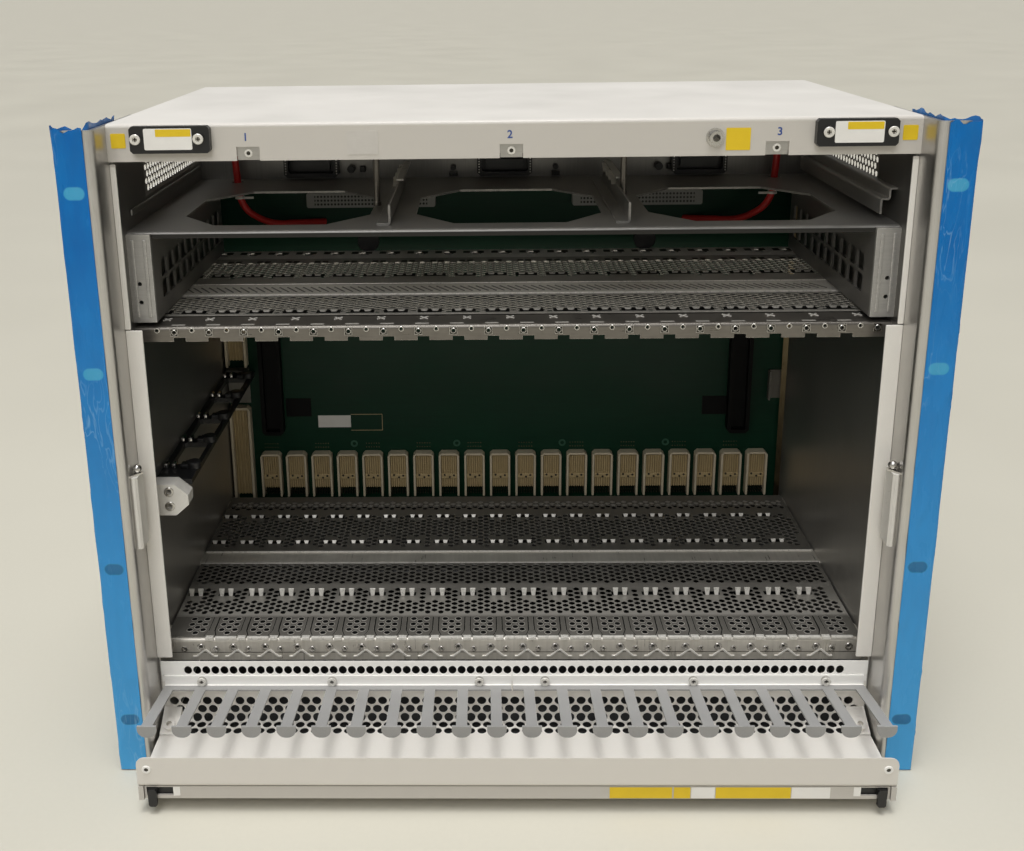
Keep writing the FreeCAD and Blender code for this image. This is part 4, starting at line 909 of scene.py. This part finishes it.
# %% [markdown]
# The side walls are bare inside and only their front folds are painted, so each wall becomes three pieces:
# a dull sheet, a field of vents beside the fans, and the white strips that frame the opening. The left
# wall also has a long pressed rib on which the fan unit slides.

# %% Side walls
SIDES = ((-1, "left"), (1, "right"))
VENT_Y = (42.0, 190.0)
VENT_Z = (344.0, 390.5)
VENT_STEPS = (4.4, 5.4)
VENT_HOLE = 4.4
WALL = 1.5
cover_x, cover_y, cover_z = limits("top_cover")
half = cover_x[1]
wall_y_at = (-11.5, *VENT_Y, 212.8)
wall_z_at = (0.6, *VENT_Z, cover_z[1] - 1.4)
for side, name in SIDES:
    bm = bmesh.new()
    bmesh.ops.create_grid(bm, x_segments=3, y_segments=3, size=1.5)
    middle = [f for f in bm.faces if not any(v.is_boundary for v in f.verts)]
    for v in bm.verts:
        v.co = Vector((side * half, wall_y_at[round(v.co.x + 1.5)], wall_z_at[round(v.co.y + 1.5)]))
    bmesh.ops.delete(bm, geom=middle, context="FACES")
    bmesh.ops.recalc_face_normals(bm, faces=bm.faces)
    outward = bm.faces[:][0].normal.x * side > 0
    solid(bm, WALL if outward else -WALL)
    if side < 0:
        block(bm, (-wall_in, -wall_in + 1.8), (9, 167), (338.6, 342.6), 0.8)
    settle(bm, name + "_wall_sheet", "wall_zinc", instead=[name + "_side_wall"])
    bm = perforated(VENT_Z, VENT_Y, VENT_STEPS, VENT_HOLE)
    for v in bm.verts:
        v.co = Vector((side * (half - 0.7), v.co.y, v.co.x))
    thicken(bm, 0.3)
    settle(bm, name + "_wall_vents", "zinc_sheet")
    strips = ((9.5, (64.0, 276.6)), (3.2, (277.2, 372.0)))
    blocks(name + "_wall_strip", "white_paint",
           [(sorted((side * half, side * (half - width))), (-13.0, -11.5), z) for width, z in strips], 0.5)

# %% [markdown]
# Blue transport film still covers the rack ears. It is a thin sheet that was folded round the flange and
# smoothed down by hand, so it has shallow waves, a few sharper creases and a torn upper end that stands a
# little above the metal. A fine grid follows the ear's outline, and fixed noise lifts it off.

# %% The outline that the film follows
ear_x, ear_y, ear_z = limits("rack_ear_right")
film_in = limits("protective_film_right")[0][0]
FILM_STEPS = [10, 2, 2, 8, 14]
film_path = [(film_in + 2.6, ear_y[0]), (ear_x[1], ear_y[0]), (ear_x[1] + 0.15, ear_y[0] + 1.2),
             (ear_x[1], ear_y[0] + 2.5), (half + 2.6, ear_y[0] + 2.6), (half + 2.6, 12.0)]
film_outward = [(0, -1), (0.3, -1), (1, 0), (0.3, 1), (1, 0), (1, 0)]


def along_film(u):
    """A point of the film's outline and the way it faces, at a step count along it."""
    for k, count in enumerate(FILM_STEPS):
        if u <= count:
            point = Vector(film_path[k]).lerp(Vector(film_path[k + 1]), u / count)
            facing = Vector(film_outward[k]).lerp(Vector(film_outward[k + 1]), u / count)
            return point, facing.normalized()
        u -= count
    return Vector(film_path[-1]), Vector(film_outward[-1])


print("film outline in", sum(FILM_STEPS), "steps")

# %% Protective film
FILM_ROWS = 150
TORN_PART = 0.06


def film(side):
    """The sheet on one ear."""
    bm = bmesh.new()
    columns = sum(FILM_STEPS)
    bmesh.ops.create_grid(bm, x_segments=columns, y_segments=FILM_ROWS, size=0.5)
    for v in bm.verts:
        u = (v.co.x + 0.5) * columns
        height = v.co.y + 0.5
        spot, away = along_film(u)
        torn = 3.0 * noise.noise(Vector((u * 0.35, side * 7.0, 1.5))) + (2.5 if u > columns * 0.6 else 0.5)
        near_top = max(0.0, (height - (1 - TORN_PART)) / TORN_PART)
        z = ear_z[0] + 0.2 + height * (ear_z[1] - ear_z[0] - 0.4) + torn * near_top
        wave = noise.fractal(Vector((u * 0.22 + side * 31.0, z * 0.035, 0.0)), 1.0, 2.0, 3)
        crease = abs(noise.noise(Vector((u * 0.16 - side * 11, z * 0.02 + u * 0.05, 4.0))))
        lift = 0.25 + 0.16 * wave + (0.5 * max(0.0, 0.12 - crease) / 0.12) * (0.4 + 0.6 * (1 - height))
        lift += near_top * 1.6 * abs(wave)
        spot = spot + away * max(0.12, lift)
        v.co = Vector((side * spot.x, spot.y, z))
    bmesh.ops.recalc_face_normals(bm, faces=bm.faces)
    for face in bm.faces:
        face.smooth = True
    return bm


for side, name in SIDES:
    settle(film(side), name + "_film", "blue_film", instead=["protective_film_" + name])

# %% [markdown]
# Twenty card connectors stand along the foot of the board. Each is a cream shroud, open to the front and
# below, round a tan insert with upright ribs and a band of dark holes half way up. The shroud is an outline
# drawn out to the board; the insert is a row of thin ribs. One is built, then repeated.

# %% Shrouds of the card connectors
PLUG_WIDTH = 16.2
PLUG_SHIFT = -3.63
plug_y, plug_z = limits("slot_connectors")[1:]
plug_x = [x + PLUG_SHIFT for x in slot_x[1:]]
plug_sides = around(plug_x[0], PLUG_WIDTH / 2)


def shroud(bm, x, y, z, wall, cut):
    """Walls of a connector that is open to the front and below, with its two upper corners cut off."""
    outer = [(x[0], z[0]), (x[0], z[1] - cut), (x[0] + cut, z[1]), (x[1] - cut, z[1]), (x[1], z[1] - cut),
             (x[1], z[0])]
    inner = [(x[1] - wall, z[0]), (x[1] - wall, z[1] - cut), (x[1] - cut, z[1] - wall),
             (x[0] + cut, z[1] - wall), (x[0] + wall, z[1] - cut), (x[0] + wall, z[0])]
    face = bm.faces.new([bm.verts.new((a, y[0], b)) for a, b in outer + inner])
    made = bmesh.ops.extrude_face_region(bm, geom=[face])["geom"]
    bmesh.ops.translate(bm, verts=verts_in(made), vec=(0, y[1] - y[0], 0))


bm = bmesh.new()
shroud(bm, plug_sides, plug_y, plug_z, 1.7, 2.2)
soften(bm, bm.verts[:], 0.3, 1)
repeat_x(bm, plug_x)
bmesh.ops.recalc_face_normals(bm, faces=bm.faces)
settle(bm, "card_connector_shrouds", "cream_plastic", instead=["slot_connectors"])

# %% Ribs and contacts of the card connectors
RIBS = 7
RIB_MARGIN = 1.9
CONTACT_PITCH = 2.04
rib_z = (plug_z[0] + 7, plug_z[1] - 1.6)
core_x = (plug_sides[0] + 1.6, plug_sides[1] - 1.6)
rib_pitch = (PLUG_WIDTH - 2 * RIB_MARGIN) / RIBS
bm = bmesh.new()
for k in range(RIBS):
    x = plug_sides[0] + RIB_MARGIN + rib_pitch * (k + 0.5)
    block(bm, around(x, 0.55), (plug_y[0] + 2.6, plug_y[1]), rib_z, 0.2, segments=1)
block(bm, core_x, (plug_y[0] + 4.2, plug_y[1]), rib_z)
block(bm, core_x, (plug_y[0] + 2.0, plug_y[1]), (plug_z[0] + 14.5, plug_z[0] + 18.5), 0.4, segments=1)
repeat_x(bm, plug_x)
settle(bm, "card_connector_ribs", "tan_plastic")
bm = bmesh.new()
# the dark discs paint the shade in the band of holes
for dx, dz in ((-3.6, 17.6), (0.4, 15.8), (3.8, 17.2)):
    pin(bm, (plug_x[0] + dx, plug_y[0] + 1.9, plug_z[0] + dz), (0, 1, 0), 0.9, 1.0, 10)
for k in range(6):
    for dz in (2.0, 4.6):
        x = plug_sides[0] + 3.0 + CONTACT_PITCH * k
        block(bm, around(x, 0.4), (plug_y[0] + 2, plug_y[1]), around(plug_z[0] + dz, 0.4))
repeat_x(bm, plug_x)
settle(bm, "card_connector_contacts", "dark_contact_and_shade")

# %% [markdown]
# The control slot on the left has two taller connectors of the same kind, one above and one below the
# bracket. The pair is built with the same shroud and fewer ribs.

# %% Control connectors
CONTROL_Z = ((65.5, 145.5), (179.0, 215.0))
control_x = limits("control_connectors")[0]
bm = bmesh.new()
for z in CONTROL_Z:
    shroud(bm, control_x, plug_y, z, 2.0, 2.4)
soften(bm, bm.verts[:], 0.3, 1)
bmesh.ops.recalc_face_normals(bm, faces=bm.faces)
settle(bm, "control_connector_shrouds", "cream_plastic", instead=["control_connectors"])
bm = bmesh.new()
for z in CONTROL_Z:
    inside_z = (z[0] + 5, z[1] - 2)
    block(bm, (control_x[0] + 1.8, control_x[1] - 1.8), (plug_y[0] + 4.4, plug_y[1]), inside_z)
    for k in range(5):
        x = control_x[0] + 3.4 + 2.4 * k
        block(bm, around(x, 0.6), (plug_y[0] + 3.0, plug_y[1]), inside_z, 0.2, segments=1)
settle(bm, "control_connector_ribs", "tan_plastic")

# %% [markdown]
# Small marks on the board make its scale readable: rings round four screw holes, groups of solder points
# above the connectors, two bare black patches and a blank white plate with a thin printed outline.

# %% Marks on the board
board_face = limits("backplane")[1][0]
rings("board_rings", "ring_green",
      [(x, board_face, 111.5, 1.5, 2.9, 0.35, 14) for x in (-120.0, -38.0, 46.0, 128.0)])
bm = bmesh.new()
for x in plug_x[::2]:
    for k in range(6):
        for row in range(2):
            pin(bm, (x - 5 + 2 * k, board_face, 108.6 + 3.2 * row), FRONT, 0.45, 0.25, 6)
for x in (-158.0, -148.0, 140.0, 150.0):
    for k in range(5):
        pin(bm, (x, board_face, 226 + 3.0 * k), FRONT, 0.5, 0.25, 6)
settle(bm, "board_solder_points", "copper_strip")
print_y = (board_face - 0.12, board_face + 0.1)
PATCHES = ((-173.0, -153.0), (155.6, 177.0))
blocks("board_patches", "deep_black",
       [(x, (board_face - 0.3, board_face + 0.1), (135.0, 150.4)) for x in PATCHES], 0.1)
blocks("board_plate", "label_white",
       [((-148.0, -122.0), (board_face - 0.35, board_face + 0.1), (125.7, 135.8))], 0.12)
blocks("board_outline", "tan_plastic",
       [((-122.0, -97.0), print_y, around(z, 0.2)) for z in (123.0, 136.5)]
       + [((-97.2, -96.8), print_y, (123.0, 136.5))])

# %% [markdown]
# Where the shelf carries stickers it gets blank plates: thin, with rounded corners, in plain white, grey
# and yellow. The plates on the drawer move with it.

# %% Blank plates
def plates(name, look, face, places, thick=0.3, body="chassis"):
    """Thin plates with rounded corners on a front face, each given by its limits and corner radius."""
    bm = bmesh.new()
    for x, z, corner in places:
        size = Matrix.Diagonal((x[1] - x[0], thick, z[1] - z[0], 1))
        middle = Matrix.Translation((sum(x) / 2, face - thick / 2, sum(z) / 2))
        made = bmesh.ops.create_cube(bm, size=1.0, matrix=middle @ size)["verts"]
        edges = {e for v in made for e in v.link_edges if abs(e.verts[0].co.y - e.verts[1].co.y) > thick / 2}
        bmesh.ops.bevel(bm, geom=list(edges), offset=corner, offset_type="OFFSET", segments=4, profile=0.5,
                        affect="EDGES", material=-1)
    settle(bm, name, look, body)


SUNK = 0.05
lip_face = cover_y[0]
cap_face = limits("terminal_cover_left")[1][0]
drawer_face = limits("filter_drawer")[1][0]
STRIP_Z = (9.9, 17.2)
plates("white_plates", "label_white", cap_face + SUNK,
       [(x, (380.5, 392.0), 0.8) for x in ((-198.0, -172.0), (172.0, 198.0))])
plates("lip_plate", "label_grey", lip_face + SUNK, [((-89.0, -72.0), (376.3, 389.2), 0.4)])
plates("yellow_plates", "label_yellow", lip_face + SUNK, [((115.3, 128.4), (376.5, 388.5), 0.4)]
       + [(x, (381.0, 389.0), 0.6) for x in ((-217.5, -209.5), (209.5, 217.5))])
for name, look, places in (
        ("drawer_white_plates", "label_white", ((101.5, 115.0), (159.0, 181.0))),
        ("drawer_yellow_plates", "label_yellow", ((54.6, 90.5), (91.5, 101.0), (115.5, 158.5)))):
    plates(name, look, drawer_face + SUNK, [(x, STRIP_Z, 0.3) for x in places], body="filter_drawer")
plates("yellow_fields", "label_yellow", cap_face - 0.2,
       [(x, (387.6, 391.6), 0.4) for x in ((-191.6, -172.4), (178.4, 197.6))], 0.1)
plates("drawer_latch_plates", "label_white", drawer_face + SUNK,
       [(x, (11.4, 17.4), 0.3) for x in ((-198.4, -194.4), (194.4, 198.4))], body="filter_drawer")

# %% [markdown]
# The three fan bays keep their plain numbers. A text curve gives the shape of each, and its mesh is turned
# upright and set on the lip.

# %% Numbers of the fan bays
BAY_PITCH = 143.0
upright = Matrix.Rotation(math.pi / 2, 3, "X")
bm = bmesh.new()
for count, x in enumerate((-BAY_PITCH - 1.0, -0.8, BAY_PITCH + 1.0), start=1):
    curve = bpy.data.curves.new("number", "FONT")
    curve.body = str(count)
    curve.size = 6.0
    curve.align_x = "CENTER"
    curve.extrude = 0.06
    curve.offset = 0.12
    holder = bpy.data.objects.new("number", curve)
    drawn = bpy.data.meshes.new_from_object(holder)
    old = set(bm.verts)
    bm.from_mesh(drawn)
    new = [v for v in bm.verts if v not in old]
    bmesh.ops.rotate(bm, verts=new, cent=(0, 0, 0), matrix=upright)
    bmesh.ops.translate(bm, verts=new, vec=(x, lip_face - 0.02, 384.4))
    bpy.data.objects.remove(holder)
    bpy.data.curves.remove(curve)
    bpy.data.meshes.remove(drawn)
settle(bm, "bay_numbers", "number_blue")

# %% [markdown]
# Screws are what the eye measures a cabinet by. Each head gets a raised rim in the bright finish of painted
# highlights, spun round its axis, and a dark patch that paints the shade of its recess: a cross on the
# larger screws, a round one on the small ones. The plugs near the ends of the trough's lip are made the
# same way, with a white rim and a dark centre of painted shade.

# %% Screw rims and recesses
cap_screws = [(side * x, -20.0, 386.4, 2.9) for side in (-1, 1) for x in (half - 51.7, half - 17.6)]
comb_screws = [(side * k * SLOT_PITCH, -15.0, 48.0, 2.9) for side in (-1, 1) for k in (1, 5.5, 9.5)]
tab_screws = [(x, -12.7, 377.5, 2.3) for x in (-BAY_PITCH, 0.0, BAY_PITCH)]
lip_plugs = [(side * 212.6, -71.7, 29.9, 2.6) for side in (-1, 1)]
screws = cap_screws + comb_screws + tab_screws
rings("screw_rims", "highlight_zinc", [(x, y + SUNK, z, 0.5 * r, r, 0.7, 18) for x, y, z, r in screws])
# dark patches for the recesses: painted shade
bm = bmesh.new()
for x, y, z, r in cap_screws + comb_screws:
    for wide, tall in ((1.1, 0.3), (0.3, 1.1)):
        block(bm, around(x, wide), (y - 0.12, y + SUNK), around(z, tall))
for x, y, z, r in tab_screws + lip_plugs:
    pin(bm, (x, y + SUNK, z), FRONT, 0.5 * r, 0.15, 14)
settle(bm, "screw_recess_shade", "dark_contact_and_shade")
rings("lip_plugs", "label_white", [(x, y + SUNK, z, 0.5 * r, r, 0.6, 18) for x, y, z, r in lip_plugs])

# %% [markdown]
# The fan bays have their own small hardware: a raised runner with spring tabs on each guide, knobs and
# brackets on the rear wall, rows of pale contact ends on the connectors, and ties round the red leads. The
# flanges of the upper cage carry two pressed beads each.

# %% Guide runners and knobs of the fan wall
GUIDE_X = 69.0
guide_top = limits("fan_shelf")[2][1] + 12
fan_wall = limits("fan_bay_wall")[1][0]
lean = Matrix.Rotation(math.radians(28), 4, "X")
bm = bmesh.new()
for x in (-GUIDE_X, GUIDE_X):
    block(bm, (x - 1.0, x + 3.6), (78, 150), (guide_top + 2.4, guide_top + 3.8), 0.4)
    for y in (84, 100, 116, 132):
        block(bm, (x - 3.6, x - 0.2), around(y, 5), (guide_top + 0.6, guide_top + 1.5), 0.3, lean)
settle(bm, "guide_runners", "zinc_sheet")
bm = bmesh.new()
for x in (-109.5, 109.5):
    pin(bm, (x, fan_wall + 0.1, 338.5), FRONT, 2.8, 7.0, 18, 0.5)
    block(bm, (x + 6, x + 10), (fan_wall - 4, fan_wall + 0.1), (336, 340), 0.5)
for x in (-36.5, 36.5):
    block(bm, around(x, 3), (fan_wall - 5, fan_wall + 0.1), (332.5, 335.5), 0.5)
    pin(bm, (x, fan_wall + 0.1, 338.6), FRONT, 2.0, 5.0, 14, 0.4)
settle(bm, "fan_wall_knobs", "black_plastic")

# %% Contact ends, beads and ties
END_Y = (166.8, 167.05)
ends_x = [x + side for x in (-137.6, 0.0, 137.6) for side in (-18.1, 18.1)]
ends_z = [336.0 + 1.9 * k for k in range(7)]
blocks("fan_connector_ends", "label_white",
       [(around(x, 0.35), END_Y, around(z, 0.35)) for x in ends_x for z in ends_z])
BEADS = ((207.3, 209.3), (214.4, 216.4))
blocks("cage_flange_beads", "shelf_zinc",
       [(sorted((side * a, side * b)), (-1.9, -1.0), (281, 327)) for side in (-1, 1) for a, b in BEADS], 0.6)
bm = bmesh.new()
for side in (-1, 1):
    collar(bm, (side * 189.3, 165.7, 319.0), UP, 2.45, 3.4, 2.0, 16)
    block(bm, sorted((side * 186.0, side * 179.0)), (162.6, 163.6), (319.2, 320.8), 0.3)
bmesh.ops.recalc_face_normals(bm, faces=bm.faces)
settle(bm, "lead_ties", "milky_plastic")

# %% [markdown]
# The rails between the plates are not plain either. The rear one and the plate before it have rows of
# windows, which are flat dark fields of painted shade here, and the middle one a row of slanted ridges. Two
# dark rubber bumpers hang above the rear rail.

# %% Patterns on the rails of the upper cage
RIDGE_PITCH = SLOT_PITCH / 4
RIDGE_MARGIN = 14
rear_rail_top = limits("mid_rear_rail")[2][1]
WINDOWS = ((-2.75, 2.0, (138.0, 143.5), mid_rear_top), (2.75, 2.0, (138.0, 143.5), mid_rear_top),
           (0, 2.4, (167.5, 174), rear_rail_top), (SLOT_PITCH / 2, 2.4, (167.5, 174), rear_rail_top))
blocks("rear_rail_windows", "dark_contact_and_shade",
       [(around(claw_x + dx, wide), y, (top - 0.1, top + 0.06)) for dx, wide, y, top in WINDOWS],
       along=slot_x)
lean = Matrix.Rotation(math.radians(35), 4, "Z")
ridge_x = -wall_in + RIDGE_MARGIN
ridges = int((2 * wall_in - 2 * RIDGE_MARGIN) // RIDGE_PITCH)
bm = bmesh.new()
block(bm, around(ridge_x, 0.6), (64, 78), (mid_step_z[1] - 0.2, mid_step_z[1] + 0.35), 0.25, lean, 1)
repeat_x(bm, [ridge_x + RIDGE_PITCH * k for k in range(ridges)])
settle(bm, "middle_rail_ridges", "dull_zinc")
bm = bmesh.new()
for x in (-99.7, 102.1):
    pin(bm, (x, 179.5, 284.0), FRONT, 8.0, 3.0, 24, 0.6)
settle(bm, "rail_bumpers", "black_plastic")

# %% [markdown]
# The ladder of the left-hand slot carries a pair of bright spring clips and a rounded hook on every rung.
# A card's cover snaps between the clips, and the hook keeps cables out of its way. Two bright screw rings
# sit on the milky block in front.

# %% Clips and hooks of the divider
RUNG_Y = [26.0 + 41.0 * k for k in range(5)]
rungs = [(0, y, 0) for y in RUNG_Y]
clip_z = limits("divider_guide")[2][1] - 3.0
bm = bmesh.new()
for x in (-216.4, -211.4):
    block(bm, around(x, 1.5), (RUNG_Y[0], RUNG_Y[0] + 6), (clip_z - 0.2, clip_z + 3.4), 1.2)
repeat(bm, rungs)
for z in (170.0, 160.5):
    collar(bm, (-207.5, SUNK, z), FRONT, 1.7, 3.1, 0.5, 16)
bmesh.ops.recalc_face_normals(bm, faces=bm.faces)
settle(bm, "divider_clips", "bright_steel")
bm = bmesh.new()
pin(bm, (-198.8, RUNG_Y[0] + 2, clip_z - 0.5), UP, 4.4, 5.0, 20, 1.4)
block(bm, (-207.0, -199.0), (RUNG_Y[0] - 1, RUNG_Y[0] + 5), (clip_z - 0.2, clip_z + 3.2), 1.0)
repeat(bm, rungs)
settle(bm, "divider_hooks", "black_plastic")

# %% [markdown]
# The photograph was taken by hand, close to the shelf and a little above it. The camera stands where a fit
# to the slot rows put it, with a small roll, and the lens shift stands for the crop of the picture.

# %% Camera
CAMERA_AT = Vector((-15.91, -678.50, 464.12)) * MM
YAW, PITCH, ROLL = (math.radians(a) for a in (-1.20, 15.22, 0.79))
ahead = Vector((math.sin(YAW) * math.cos(PITCH), math.cos(YAW) * math.cos(PITCH), -math.sin(PITCH)))
level_right = Vector((math.cos(YAW), -math.sin(YAW), 0))
down = ahead.cross(level_right)
right = level_right * math.cos(ROLL) + down * math.sin(ROLL)
below = down * math.cos(ROLL) - level_right * math.sin(ROLL)
camera_data = bpy.data.cameras.new("camera")
camera = bpy.data.objects.new("camera", camera_data)
scene.collection.objects.link(camera)
camera.matrix_world = Matrix.Translation(CAMERA_AT) @ Matrix((right, -below, -ahead)).transposed().to_4x4()
camera_data.lens = 38.69
camera_data.sensor_width = 36.0
camera_data.sensor_fit = "HORIZONTAL"
camera_data.shift_x = 0.0499
camera_data.shift_y = -0.1374
camera_data.clip_start = 0.01
scene.camera = camera
print("camera", [round(c, 3) for c in camera.location], "lens", camera_data.lens)

# %% [markdown]
# The shelf stands on a plain pale floor in front of an equally plain backdrop, which only the camera sees.
# The light is soft: an even world, a very wide lamp high above the front like a lit ceiling, a narrower
# one that draws the soft shadows of the fingers on the trough, and a weak fill from the left. The cage
# stays dark inside because its cover shades it.

# %% Floor and world
floor_bm = bmesh.new()
bmesh.ops.create_grid(floor_bm, x_segments=4, y_segments=4, size=300.0)
floor_mesh = bpy.data.meshes.new("floor")
floor_bm.to_mesh(floor_mesh)
floor_bm.free()
floor = bpy.data.objects.new("floor", floor_mesh)
scene.collection.objects.link(floor)
finish("pale_floor", "#c3bfb1", "#ccc8ba", 0.6, 400, 3.0, 0.02)
floor_mesh.materials.append(finishes["pale_floor"])
world = bpy.data.worlds.new("studio")
scene.world = world
world.use_nodes = True
tree = world.node_tree
sky = tree.nodes["Background"]
sky.inputs["Color"].default_value = (1.0, 0.985, 0.95, 1)
sky.inputs["Strength"].default_value = 0.22
seen = place(tree, "ShaderNodeBackground", {"Color": tone("#c6c3b5"), "Strength": 1.0})
to_camera = place(tree, "ShaderNodeLightPath").outputs["Is Camera Ray"]
backdrop = place(tree, "ShaderNodeMixShader", {0: to_camera, 1: sky.outputs[0], 2: seen.outputs[0]})
tree.links.new(backdrop.outputs[0], tree.nodes["World Output"].inputs["Surface"])
print("floor and world ready")

# %% Lamps
LIT_POINT = Vector((0.0, 0.0, 0.2))


def lamp(kind, name, energy, at, **settings):
    """A lamp that looks at the shelf."""
    light = bpy.data.lights.new(name, kind)
    light.energy = energy
    for key, value in settings.items():
        setattr(light, key, value)
    holder = bpy.data.objects.new(name, light)
    scene.collection.objects.link(holder)
    holder.location = at
    holder.rotation_euler = (LIT_POINT - Vector(at)).to_track_quat("-Z", "Y").to_euler()
    print(name, light.type, energy)


lamp("SUN", "ceiling", 2.0, (-0.1, -0.35, 2.0), angle=math.radians(40))
lamp("SUN", "tubes", 0.7, (0.0, -0.1, 2.0), angle=math.radians(11))
lamp("AREA", "fill", 11.0, (-0.4, -1.5, 1.5), shape="RECTANGLE", size=1.2, size_y=0.9)
